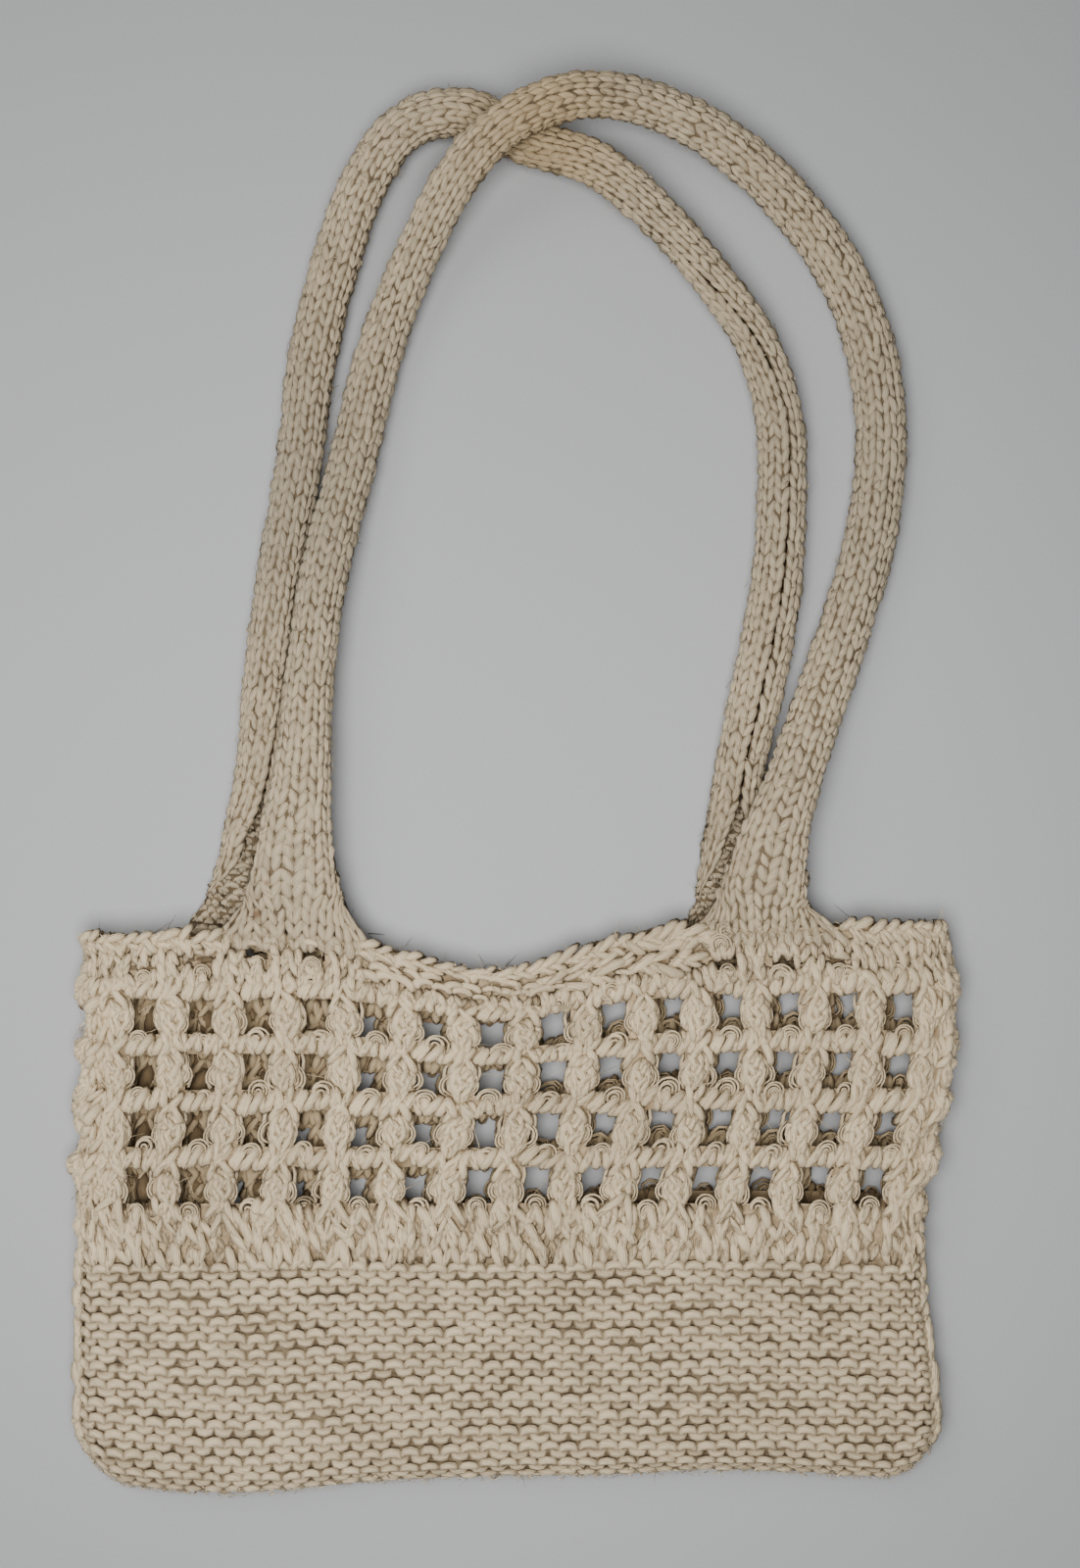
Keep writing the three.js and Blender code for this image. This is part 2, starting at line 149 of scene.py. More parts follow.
def finished(mesh: bmesh.types.BMesh, name: str) -> bpy.types.Object:
    """Turns worked geometry into an object of the scene, and frees it."""
    data = bpy.data.meshes.new(name)
    mesh.to_mesh(data)
    mesh.free()
    return add_object(name, data)


@dataclass(frozen=True)
class Body:
    """Sizes of one panel laid out square, in millimetres."""

    width: float = 300.0
    height: float = 190.0
    depth: float = 16.0
    wall: float = 4.5
    corner: float = 22.0
    join_gap: float = 0.3
    front_sag: float = 1.2
    ridges: int = 14
    ridge_pitch: float = 5.6
    garter_top: float = 75.0
    columns: int = 15
    column_pitch: float = 19.25
    rows: int = 4
    row_pitch: float = 19.8
    first_gap: float = 101.0
    net_bottom: float = 95.0
    eyelet_bottom: float = 179.5

    @property
    def edge_radius(self) -> float:
        """Gives the radius of the rolled side and bottom edges."""
        return self.depth / 2

    @property
    def half_developed(self) -> float:
        """Gives half the panel's width measured over its rolled edges."""
        return self.width / 2 - self.edge_radius + self.edge_radius * math.pi / 2

    @property
    def lowest_developed(self) -> float:
        """Gives the panel's lowest measure over its rolled bottom edge."""
        return self.edge_radius * (1.0 - math.pi / 2)

    def column_middles(self) -> np.ndarray:
        """Gives the places of the bobble columns across the panel."""
        return (np.arange(self.columns) - (self.columns - 1) / 2) * self.column_pitch

    def row_middles(self) -> np.ndarray:
        """Gives the heights of the rows of gaps."""
        return self.first_gap + np.arange(self.rows) * self.row_pitch


class Wave(NamedTuple):
    """One swell of the bottom edge, in millimetres."""

    centre: float
    reach: float
    lift: float


class Drift(NamedTuple):
    """How far the back net lies off the front one at a place across, in millimetres."""

    at: float
    across: float
    up: float


@dataclass(frozen=True)
class Lie:
    """How the soft bag lies: what moves its cloth away from square, in millimetres."""

    body: Body
    lean: float = 6.5
    lean_spread: float = 4.0
    lean_from: float = 100.0
    lean_reach: float = 120.0
    waist: float = 5.0
    waist_from: float = 20.0
    waist_reach: float = 50.0
    lobe_left: float = -3.6
    lobe_right: float = 1.6
    lobe_above: float = 8.0
    side_share: float = 0.88
    left_shift: float = -3.0
    left_from: float = -50.0
    left_to: float = 20.0
    mouth_tilt: float = 2.3
    dip_centre: float = -8.0
    dip_reach: float = 37.0
    dip_front: float = 14.0
    dip_back: float = 15.0
    drifts: tuple[Drift, ...] = (
        Drift(-142.0, -14.0, -6.0),
        Drift(-106.0, -13.5, -8.0),
        Drift(-60.0, -7.0, -8.0),
        Drift(-20.0, -2.0, -5.0),
        Drift(10.0, 0.0, 0.0),
        Drift(35.0, 1.5, 3.0),
        Drift(100.0, 5.0, 3.0),
        Drift(142.0, 6.0, 2.0),
    )
    waves: tuple[Wave, ...] = (
        Wave(0.0, 500.0, -2.6),
        Wave(-98.0, 40.0, -5.0),
        Wave(5.0, 35.0, 1.0),
        Wave(78.0, 42.0, 3.2),
    )

    def mouth_line(self, x: np.ndarray, side: Side) -> np.ndarray:
        """Gives the height of the mouth's edge.

        Args:
            x: places across the panel.
            side: the panel's side.

        Returns:
            The rise of the edge above a level mouth.
        """
        dip = self.dip_front if side is Side.FRONT else self.dip_back
        across = np.clip(x / (self.body.width / 2), -1.0, 1.0)
        return self.mouth_tilt * across - dip * np.exp(-(((x - self.dip_centre) / self.dip_reach) ** 2))

    def settle(self, x: np.ndarray, y: np.ndarray, side: Side) -> tuple[np.ndarray, np.ndarray]:
        """Moves square cloth to where it lies.

        Args:
            x: places across the panel.
            y: heights up the panel.
            side: the panel's side.

        Returns:
            The places across and up where the cloth lies.
        """
        body = self.body
        across = np.clip(x / (body.width / 2), -1.0, 1.0)
        low = between(1.0 - y / body.net_bottom) ** 2
        high = between((y - body.net_bottom) / (body.height - body.net_bottom)) ** 2
        lean = self.lean + self.lean_spread * np.sin(math.pi / 2 * across)
        swing = np.where(y > self.lean_from, np.sin(math.pi * (y - self.lean_from) / self.lean_reach), 0.0)
        at_side = eased((np.abs(across) - self.side_share) / (1.0 - self.side_share))
        waist = np.where(across > 0, self.waist * eased((y - self.waist_from) / self.waist_reach), 0.0)
        in_net = (y > body.net_bottom) & (y < body.eyelet_bottom)
        lobe_size = np.where(across > 0, self.lobe_right, self.lobe_left)
        lobe_turn = math.pi * (y - body.first_gap - self.lobe_above) / body.row_pitch
        lobe = np.where(in_net, lobe_size * np.cos(lobe_turn) ** 2, 0.0)
        from_left = 1.0 - eased((x - self.left_from) / (self.left_to - self.left_from))
        in_band = eased((y - body.garter_top) / (body.net_bottom - body.garter_top))
        spread = self.left_shift * from_left * in_band
        wave = sum(w.lift * np.exp(-(((x - w.centre) / w.reach) ** 2)) for w in self.waves)
        placed_x = x + lean * swing + at_side * (lobe - waist) + (1.0 - at_side) * spread
        placed_y = y + wave * low + self.mouth_line(x, side) * high
        if side is Side.BACK:
            flat_half = body.width / 2 - body.edge_radius
            places, drift_across, drift_up = zip(*self.drifts)
            inside = 1.0 - (np.minimum(np.abs(x), flat_half) / flat_half) ** 10
            rise = between((y - body.garter_top) / (body.height - body.garter_top))
            share = inside * np.sqrt(np.sin(math.pi * rise))
            placed_x = placed_x + np.interp(x, places, drift_across) * share
            placed_y = placed_y + np.interp(x, places, drift_up) * share
        return placed_x, placed_y


@dataclass
class Surface:
    """A cloth as a grid of points on which stitches are placed by their flat measures."""

    across: np.ndarray
    up: np.ndarray
    points: np.ndarray
    turned: bool
    outward: np.ndarray = field(init=False)

    def __post_init__(self) -> None:
        """Works out which way the cloth faces at each point of the grid."""
        sideways = np.gradient(self.points, self.across, axis=0)
        upwards = np.gradient(self.points, self.up, axis=1)
        facing = unit(np.cross(sideways, upwards), axis=2)
        self.outward = -facing if self.turned else facing

    def facing(self, across: np.ndarray, up: np.ndarray) -> np.ndarray:
        """Tells how far up the cloth faces.

        Args:
            across: places across the flat cloth.
            up: places up the flat cloth.

        Returns:
            One where the cloth faces straight up, minus one where it faces the floor.
        """
        i = np.abs(self.across[None, :] - across[:, None]).argmin(axis=1)
        j = np.abs(self.up[None, :] - up[:, None]).argmin(axis=1)
        return self.outward[i, j, 2]

    def place(self, flat: np.ndarray) -> np.ndarray:
        """Carries points from the flat cloth to the lying one.

        Args:
            flat: across, up and lift of each point, in millimetres.

        Returns:
            The points in the bag's frame, in metres.
        """
        column = (flat[:, 0] - self.across[0]) / (self.across[1] - self.across[0])
        row = (flat[:, 1] - self.up[0]) / (self.up[1] - self.up[0])
        i = np.clip(np.floor(column).astype(int), 0, len(self.across) - 2)
        j = np.clip(np.floor(row).astype(int), 0, len(self.up) - 2)
        s, t = (column - i)[:, None], (row - j)[:, None]

        def mixed(grid: np.ndarray) -> np.ndarray:
            """Mixes the four grid values round each point."""
            low = grid[i, j] * (1 - s) + grid[i + 1, j] * s
            high = grid[i, j + 1] * (1 - s) + grid[i + 1, j + 1] * s
            return low * (1 - t) + high * t

        facing = unit(mixed(self.outward), axis=1)
        return (mixed(self.points) + facing * flat[:, 2:3] - CLOTH_ORIGIN) * MM


@dataclass(frozen=True)
class Strand:
    """A length of yarn on a smooth line, in flat cloth millimetres."""

    knots: Knots
    radius: float
    rings: int = 7
    sides: int = 6
    end_share: float = 0.7

    def build(self) -> tuple[np.ndarray, list[list[int]], list[tuple[float, float]]]:
        """Extrudes a closed round strand along its line.

        Returns:
            Points, faces, and for each face corner the run along the yarn and the threads counted round it.
        """
        line = smooth_path(np.array(self.knots, dtype=float), self.rings)
        run = run_along(line)
        heading = np.gradient(line, axis=0)
        swell = np.sin(math.pi * np.linspace(0.0, 1.0, self.rings)) ** 0.5
        girth = self.radius * (self.end_share + (1.0 - self.end_share) * swell)
        mesh = bmesh.new()
        around = mesh.verts.layers.float.new("around")
        along = mesh.verts.layers.float.new("along")
        bmesh.ops.create_circle(mesh, cap_ends=True, segments=self.sides, radius=1.0)
        for number, vert in enumerate(mesh.verts):
            vert[around] = number / self.sides
        cap = mesh.faces[:][0]
        before = Matrix.Identity(4)
        for ring in range(self.rings):
            if ring:
                made = bmesh.ops.extrude_face_region(mesh, geom=[cap])["geom"]
                if ring > 1:
                    bmesh.ops.delete(mesh, geom=[cap], context="FACES_ONLY")
                cap = next(item for item in made if isinstance(item, bmesh.types.BMFace))
            ahead = Vector(heading[ring]).normalized()
            sideways = ahead.cross(Vector(UPRIGHT))
            if sideways.length < 1e-3:
                sideways = Vector((1.0, 0.0, 0.0))
            sideways.normalize()
            over = sideways.cross(ahead)
            turn = Matrix((sideways, over, ahead)).transposed().to_4x4()
            size = Matrix.Diagonal((*[girth[ring]] * 3, 1.0))
            after = Matrix.Translation(Vector(line[ring])) @ turn @ size
            bmesh.ops.transform(mesh, matrix=after @ before.inverted(), verts=cap.verts)
            for vert in cap.verts:
                vert[along] = run[ring]
            before = after
        bmesh.ops.recalc_face_normals(mesh, faces=mesh.faces)
        mesh.verts.index_update()
        points = np.array([vert.co[:] for vert in mesh.verts])
        threads = 0
        if self.radius > BARE_RADIUS:
            threads = max(FEWEST_THREADS, round(2.0 * math.pi * self.radius / THREAD_WIDTH))
        faces, yarn = [], []
        for face in mesh.faces:
            corners = [(vert[along], vert[around]) for vert in face.verts]
            wraps = max(c[1] for c in corners) - min(c[1] for c in corners) > 0.5
            faces.append([vert.index for vert in face.verts])
            yarn.extend((c[0], threads * (c[1] + 1.0 if wraps and c[1] < 0.5 else c[1])) for c in corners)
        mesh.free()
        return points, faces, yarn


class Stitch:
    """A form made of one or more strands, kept as arrays to be laid many times."""

    def __init__(self, strands: Sequence[Strand]) -> None:
        """Joins the strands of one form.

        Args:
            strands: the lengths of yarn that make the form.
        """
        points: list[np.ndarray] = []
        faces: list[list[int]] = []
        yarn: list[tuple[float, float]] = []
        count = 0
        for strand in strands:
            places, made, runs = strand.build()
            points.append(places)
            faces.extend([corner + count for corner in face] for face in made)
            yarn.extend(runs)
            count += len(places)
        self.points = np.vstack(points)
        self.yarn = np.array(yarn)
        self.totals = np.array([len(face) for face in faces])
        self.corners = np.array([corner for face in faces for corner in face])
        starts = np.concatenate(([0], np.cumsum(self.totals)[:-1]))
        order = [np.arange(start + total - 1, start - 1, -1) for start, total in zip(starts, self.totals)]
        self.backwards = np.concatenate(order)


@dataclass(frozen=True)
class Hand:
    """How unevenly the stitches are worked."""

    place: float = 0.16
    turn: float = 0.06
    size: float = 0.05
    lift: float = 0.12


WILD = Hand(place=0.5, turn=3.0, size=0.3, lift=0.3)


class Weave:
    """Gathers stitches laid on a cloth and joins them into one piece."""

    MOST_UNEVEN = 2.0
    YARN_SHIFT = 40.0
    TONE_SPREAD = 0.22
    # Painted shade by depth: the depth over which it rises, the crest for stitches laid behind a wall, and
    # the fixed painted shade of stitches shown on the inner face.
    SHADE_DEPTH_SPAN = 4.0
    INNER_SHADE_CREST = -1.0
    INNER_PAINTED_SHADE = 0.2

    def __init__(
        self, name: str, cloth: Surface, seed: int, shade_crest: float = 0.0, through: float = -99.0
    ) -> None:
        """Starts an empty piece.

        Args:
            name: the piece's name.
            cloth: the cloth it lies on.
            seed: the number that settles its unevenness.
            shade_crest: the height from which the depth of its stitches is measured for their painted shade.
            through: the height below which a stitch shows on the inner face and takes a fixed painted shade.
        """
        self.name = name
        self.cloth = cloth
        self.shade_crest = shade_crest
        self.through = through
        self.chance = np.random.default_rng(seed)
        self.points: list[np.ndarray] = []
        self.corners: list[np.ndarray] = []
        self.totals: list[np.ndarray] = []
        self.yarn: list[np.ndarray] = []
        self.tone: list[np.ndarray] = []
        self.painted_depth_shade: list[np.ndarray] = []
        self.count = 0

    def lay(
        self,
        stitch: Stitch,
        across: np.ndarray,
        up: np.ndarray,
        *,
        lift: float | np.ndarray = 0.0,
        turn: float | np.ndarray = 0.0,
        grow: float | np.ndarray = 1.0,
        stretch: float | np.ndarray = 1.0,
        shade: float | np.ndarray = 0.0,
        inside: float | None = None,
        hand: Hand = Hand(),
    ) -> None:
        """Lays one form at many places.

        Args:
            stitch: the form.
            across: places across the flat cloth.
            up: places up the flat cloth.
            lift: how far it is raised.
            turn: how far it is turned in the cloth, in radians.
            grow: its size.
            stretch: its width against its size.
            shade: how much more painted shade it takes than its depth alone gives it; below nought, less.
            inside: the wall to lay it behind, or none for the outer face.
            hand: how uneven it is.
        """
        across, up = (np.atleast_1d(np.asarray(v, dtype=float)) for v in np.broadcast_arrays(across, up))
        across, up = across.ravel(), up.ravel()
        many = len(across)
        if not many:
            return
        draw = self.chance.normal(size=(many, 5)).clip(-self.MOST_UNEVEN, self.MOST_UNEVEN)
        size = (np.broadcast_to(grow, many) * (1.0 + hand.size * draw[:, 0]))[:, None]
        wide = np.broadcast_to(stretch, many)[:, None] * size
        angle = np.broadcast_to(turn, many) + hand.turn * draw[:, 1]
        cos, sin = np.cos(angle)[:, None], np.sin(angle)[:, None]
        x, y, h = (stitch.points[:, k][None, :] for k in range(3))
        x, y = x * wide, y * size
        raised = h * size + np.broadcast_to(lift, many)[:, None] + hand.lift * draw[:, 4:5]
        flat = np.stack(
            (
                across[:, None] + hand.place * draw[:, 2:3] + x * cos - y * sin,
                up[:, None] + hand.place * draw[:, 3:4] + x * sin + y * cos,
                raised if inside is None else -inside - raised,
            ),
            axis=2,
        ).reshape(-1, 3)
        self.points.append(self.cloth.place(flat))
        reverse = self.cloth.turned != (inside is not None)
        corners = stitch.corners[stitch.backwards] if reverse else stitch.corners
        yarn = stitch.yarn[stitch.backwards] if reverse else stitch.yarn
        offsets = self.count + np.arange(many)[:, None] * len(stitch.points)
        self.corners.append((corners[None, :] + offsets).ravel())
        totals = np.tile(stitch.totals, many)
        self.totals.append(totals)
        shift = self.chance.uniform(0.0, self.YARN_SHIFT, size=(many, 1, 1)) * np.array((1.0, 0.5))
        self.yarn.append((yarn[None] + shift).reshape(-1, 2))
        tone = between(0.5 + self.TONE_SPREAD * self.chance.normal(size=many))
        self.tone.append(np.repeat(tone, len(stitch.points)))
        # Painted shade: a stitch darkens the deeper it lies below the crest.
        shade_crest = self.shade_crest if inside is None else self.INNER_SHADE_CREST
        painted_depth_shade = between((shade_crest - raised) / self.SHADE_DEPTH_SPAN + np.broadcast_to(shade, many)[:, None])
        if inside is None:
            painted_depth_shade = np.where(raised < self.through, self.INNER_PAINTED_SHADE, painted_depth_shade)
        self.painted_depth_shade.append(painted_depth_shade.ravel())
        self.count += many * len(stitch.points)

    def lay_mixed(
        self,
        forms: Sequence[Stitch],
        kinds: np.ndarray,
        across: np.ndarray,
        up: float,
        lift: np.ndarray,
        shade: np.ndarray,
        **how: float | Hand | None,
    ) -> None:
        """Lays a row in which each place has its own kind of form.

        Args:
            forms: the forms to choose from.
            kinds: the number of the form at each place.
            across: places across the flat cloth.
            up: the row's height.
            lift: how far each is raised.
            shade: how much darker each is.
            how: what else they share.
        """
        for kind, form in enumerate(forms):
            there = kinds == kind
            self.lay(form, across[there], up, lift=lift[there], shade=shade[there], **how)

    def make(self) -> bpy.types.Object:
        """Joins what was laid.

        Returns:
            The finished piece, with its yarn map, its tone values and its painted shade by depth.
        """
        corners = np.concatenate(self.corners)
        totals = np.concatenate(self.totals)
        ends = np.cumsum(totals)
        faces = [part.tolist() for part in np.split(corners, ends[:-1])]
        points = np.vstack(self.points)
        height = points[:, 2]
        pressed = PRESSED * np.exp(np.minimum(height / PRESSED - 1.0, 0.0))
        points[:, 2] = np.where(height < PRESSED, pressed, height)
        mesh = bpy.data.meshes.new(self.name)
        mesh.from_pydata(points, [], faces)
        mesh.uv_layers.new(name="yarn").data.foreach_set("uv", np.vstack(self.yarn).ravel())
        # The tone and the painted shade by depth are kept as values on each point.
        for label, values in (("tone", self.tone), ("painted_depth_shade", self.painted_depth_shade)):
            mesh.attributes.new(label, "FLOAT", "POINT").data.foreach_set("value", np.concatenate(values))
        mesh.shade_smooth()
        LOG.info("%s: %d triangles", self.name, int(np.sum(totals - 2)))
        return add_object(self.name, mesh)


class StitchBook:
    """The forms that the knitter makes again and again."""

    SEED = 11
    STRAY_POINTS = 7
    STRAY_RADIUS = 0.3
    FIRM_LEG = ((0.3, -3.5, -1.5), (0.8, -2.0, 0.05), (1.35, 0.0, 0.55), (1.85, 1.9, 0.2), (2.25, 3.5, -1.3))
    LOOSE_LEG = ((0.25, -3.8, -3.1), (0.8, -2.0, -1.6), (1.5, 0.2, -1.2), (2.1, 2.2, -1.7), (2.4, 3.9, -3.1))
    LINK = ((-3.5, -1.7, -2.5), (-1.8, -1.0, -0.8), (0.0, 0.0, -0.3), (1.8, 1.0, -0.8), (3.5, 1.7, -2.5))
    PURL = ((-2.4, -0.9, -2.2), (-1.4, 0.1, -1.3), (0.0, 0.5, -1.0), (1.4, 0.1, -1.3), (2.4, -0.9, -2.2))
    PEAK = ((0.2, 9.9, -2.2), (1.5, 8.0, -0.6), (3.2, 5.0, -0.5), (4.4, 2.2, -2.2))
    FOOT = ((2.6, -4.0, -1.6), (1.8, -6.4, -0.6), (0.9, -8.8, -0.9), (0.2, -10.6, -2.4))
    SPREAD = ((0.4, 6.6, -1.6), (1.9, 3.6, -0.5), (3.8, 0.2, -0.6), (5.6, -4.2, -2.4))
    EAR = ((3.4, -5.6, -2.4), (5.2, -4.5, -2.1), (6.0, -2.2, -2.2), (5.4, 0.4, -2.3), (3.8, 2.2, -2.6))
    EAR_RIM = ((3.9, -6.8, -3.4), (5.1, -3.2, -3.5), (4.8, 0.0, -3.6), (5.1, 3.2, -3.5), (3.9, 6.8, -3.4))
    CORE = ((0.0, -6.6, -3.6), (0.0, -3.0, -3.4), (0.0, 0.6, -3.3), (0.0, 4.0, -3.5), (0.0, 7.0, -3.6))
    ARCH = (215.0, 170.0, 128.0, 90.0, 52.0, 10.0, -35.0)  # degrees round a thin loop

    def __init__(self, sides: int, rings: int, strays: int) -> None:
        """Makes each form once.

        Args:
            sides: faces round a strand.
            rings: rings along a plain stitch.
            strays: thin threads that stray over a loose yarn.
        """
        self.sides = sides
        self.rings = rings
        self.strays = strays
        self.chance = np.random.default_rng(self.SEED)
        self.bump_over = self._bump(radius=1.7, rise=0.9, ends=-1.8, deep=-3.2)
        self.bump_under = self._bump(radius=1.6, rise=-0.85, ends=1.7, deep=-3.2)
        self.purl = self._purl()
        self.legs = [self._leg(hand) for hand in HANDS]
        self.flat_legs = [self._loose_leg(hand) for hand in HANDS]
        self.bobbles = [self._bobble() for _ in range(4)]
        self.peak = self._pair(self.PEAK, 1.35)
        self.foot = self._pair(self.FOOT, 1.3)
        self.bars = [self._bar(hand) for hand in (1.0, 1.0, -1.0)]
        self.rosettes = [self._rosette() for _ in range(3)]
        self.ears = [self._ear(hand) for hand in HANDS]
        self.spread_legs = self._pair(self.SPREAD, 1.35)
        self.chain_up = self._chain(1.0)
        self.chain_down = self._chain(-1.0)
        self.hairs = [self._hair(1.2, 0.07) for _ in range(5)] + [self._hair(0.45, 0.24) for _ in range(3)]
        self.threads = [self._hair(2.4, 0.12) for _ in range(6)]

    def _bump(self, radius: float, rise: float, ends: float, deep: float) -> Stitch:
        """Makes one arched bump of garter stitch.

        Args:
            radius: the yarn's radius.
            rise: how far its middle bows along the cloth.
            ends: where its ends lie along the cloth.
            deep: how low its ends dive.

        Returns:
            The form.
        """
        top = -radius
        half = (
            (3.0, ends, deep),
            (2.65, ends * 0.28, top - 0.55),
            (1.65, rise * 0.72, top - 0.08),
        )
        knots = (*handed(half, -1.0), (0.0, rise, top), *reversed(half))
        rings = self.rings + 1 if self.strays else self.rings
        return Stitch([Strand(knots, radius, rings, self.sides, 0.55)])

    def _purl(self) -> Stitch:
        """Makes one small bump of the inner side of stocking stitch."""
        return Stitch([Strand(self.PURL, 1.45, self.rings, self.sides, 0.65)])

    def _leg(self, hand: float) -> Stitch:
        """Makes one firm leg of a stocking stitch, the left or the right by its hand."""
        return Stitch([Strand(handed(self.FIRM_LEG, hand), 1.45, self.rings, self.sides - 1, 0.5)])

    def _loose_leg(self, hand: float) -> Stitch:
        """Makes one leg of a stocking stitch in loose yarn, the left or the right by its hand."""
        return Stitch(self._loose(handed(self.LOOSE_LEG, hand), 1.62, 0.35 * hand))

    def _loose(self, knots: Knots, radius: float, turns: float) -> list[Strand]:
        """Lays a soft round yarn with thin threads straying over it.

        Args:
            knots: the yarn's line.
            radius: the yarn's radius.
            turns: how often the threads go round it.

        Returns:
            The yarn and its threads.
        """
        many = self.STRAY_POINTS
        line = smooth_path(np.array(knots, dtype=float), many)
        heading = unit(np.gradient(line, axis=0), axis=1)
        sideways = unit(np.cross(heading, UPRIGHT), axis=1, least=1e-6)
        over = np.cross(sideways, heading)
        swell = 0.6 + 0.4 * np.sin(math.pi * np.linspace(0.0, 1.0, many))
        strands = [Strand(tuple(map(tuple, line)), radius, self.rings, self.sides, 0.6)]
        for _ in range(self.strays):
            angle = self.chance.uniform(0.5, 2.6) + math.pi * turns * np.linspace(-1.0, 1.0, many)
            wander = self.chance.normal(scale=0.12, size=(many, 3))
            out = (radius + 0.05) * swell
            aside = sideways * (out * np.cos(angle))[:, None]
            raised = over * (out * np.sin(angle))[:, None]
            points = line + aside + raised + wander
            strands.append(Strand(tuple(map(tuple, points)), self.STRAY_RADIUS, self.rings - 1, 3, 0.6))
        return strands

    def _pair(self, knots: Knots, radius: float) -> Stitch:
        """Makes two mirrored lengths of loose yarn from the line of the right one."""
        return Stitch([*self._loose(knots, radius, 0.4), *self._loose(handed(knots, -1.0), radius, -0.4)])

    def _bobble(self) -> Stitch:
        """Makes a plump bobble of soft yarns plaited over each other and drawn together at both ends."""
        strands = [Strand(self.CORE, 3.3, 6, 7, 0.1)]
        for hand in HANDS:
            for reach, high in ((4.0, -2.5), (2.7, -1.0)):
                wander = 0.45 * self.chance.normal(size=4)
                knots = (
                    (hand * 0.5, 6.6, -2.8),
                    (hand * (0.74 * reach + wander[0]), 4.0, high - 0.3),
                    (hand * (reach + wander[1]), -0.4 + wander[2], high),
                    (hand * (0.84 * reach + wander[3]), -3.4, high - 0.3),
                    (hand * 0.5, -6.6, -2.8),
                )
                strands.extend(self._loose(knots, 1.4, 0.3 * hand))
        first = self.chance.choice(HANDS)
        for number, level in enumerate((3.0, 0.5, -2.0)):
            hand = first if number % 2 else -first
            wander = 0.45 * self.chance.normal(size=4)
            knots = (
                (hand * (2.6 + wander[0]), level + 2.3, -1.7),
                (hand * (1.5 + wander[1]), level + 0.9, -0.1),
                (hand * 0.1 + wander[2], level - 0.9, 0.2),
                (-hand * 0.9, level - 2.9 + wander[3], -1.5),
            )
            strands.extend(self._loose(knots, 1.3, 0.35 * hand))
        for hand in HANDS:
            wander = 0.35 * self.chance.normal(size=3)
            knots = (
                (hand * (3.7 + wander[0]), 0.6, -2.2),
                (hand * (2.5 + wander[1]), -2.0, -0.8),
                (hand * (1.2 + wander[2]), -4.6, -0.3),
                (hand * 0.2, -7.4, -1.6),
            )
            strands.extend(self._loose(knots, 1.25, 0.35 * hand))
        return Stitch(strands)

    def _bar(self, hand: float) -> Stitch:
        """Makes a bar of slanted turns of loose yarn.

        Args:
            hand: which way the turns slant.

        Returns:
            The form.
        """
        strands = []
        for number in range(-3, 4):
            middle = 2.5 * number + 0.45 * self.chance.normal()
            lean = hand * (0.8 + 1.4 * self.chance.normal())
            low, high = 3.5 + 0.55 * self.chance.normal(size=2)
            proud = 0.75 * self.chance.normal()
            knots = (
                (middle - lean, high, -3.3),
                (middle - 0.6 * lean, 1.9, -1.5 + proud),
                (middle + 0.5 * lean, -1.5, -1.0 + proud),
                (middle + lean, -low, -2.8),
            )
            strands.extend(self._loose(knots, 1.65, 0.3 * hand))
        return Stitch(strands)

    def _rosette(self) -> Stitch:
        """Makes thin threads arched one over the other."""
        rings = 2 * self.rings - 1 if self.strays else self.rings + 1
        strands = []
        for size in (0.9, 1.75, 2.6, 3.4):
            size += 0.15 * self.chance.normal()
            aside = 0.25 * self.chance.normal()
            knots = tuple(
                (
                    aside + size * math.cos(angle),
                    1.05 * size * math.sin(angle),
                    -0.9 - 0.2 * size + 0.35 * math.sin(angle),
                )
                for angle in np.radians(self.ARCH)
            )
            strands.append(Strand(knots, 0.4, rings, 4))
        return Stitch(strands)

    def _ear(self, hand: float) -> Stitch:
        """Makes the thin loops that hang beside a bobble.

        Args:
            hand: minus one for the left, one for the right.

        Returns:
            The form.
        """
        placed = handed(self.EAR, hand)
        inner = tuple((x - hand * 0.9, y * 0.85, h + 0.3) for x, y, h in placed)
        thin = [Strand(placed, 0.36, self.rings + 2, 4), Strand(inner, 0.4, self.rings + 2, 4)]
        return Stitch([*thin, Strand(handed(self.EAR_RIM, hand), 0.85, self.rings, 4)])

    def _chain(self, hand: float) -> Stitch:
        """Makes one slanted link of the mouth's edge, which rises or falls by its hand."""
        knots = tuple((x, hand * y, h) for x, y, h in self.LINK)
        return Stitch(self._loose(knots, 1.5, 0.4 * hand))

    def _hair(self, reach: float, radius: float) -> Stitch:
        """Makes one loose fibre.

        Args:
            reach: the length of each of its three spans.
            radius: its radius.

        Returns:
            The form.
        """
        bend = self.chance.normal(scale=0.55 * reach, size=(4, 3))
        knots = tuple((reach * k + x, y, 0.4 * reach * k + 0.5 * h) for k, (x, y, h) in enumerate(bend))
        return Stitch([Strand(knots, radius, 3, 3, 0.5)])


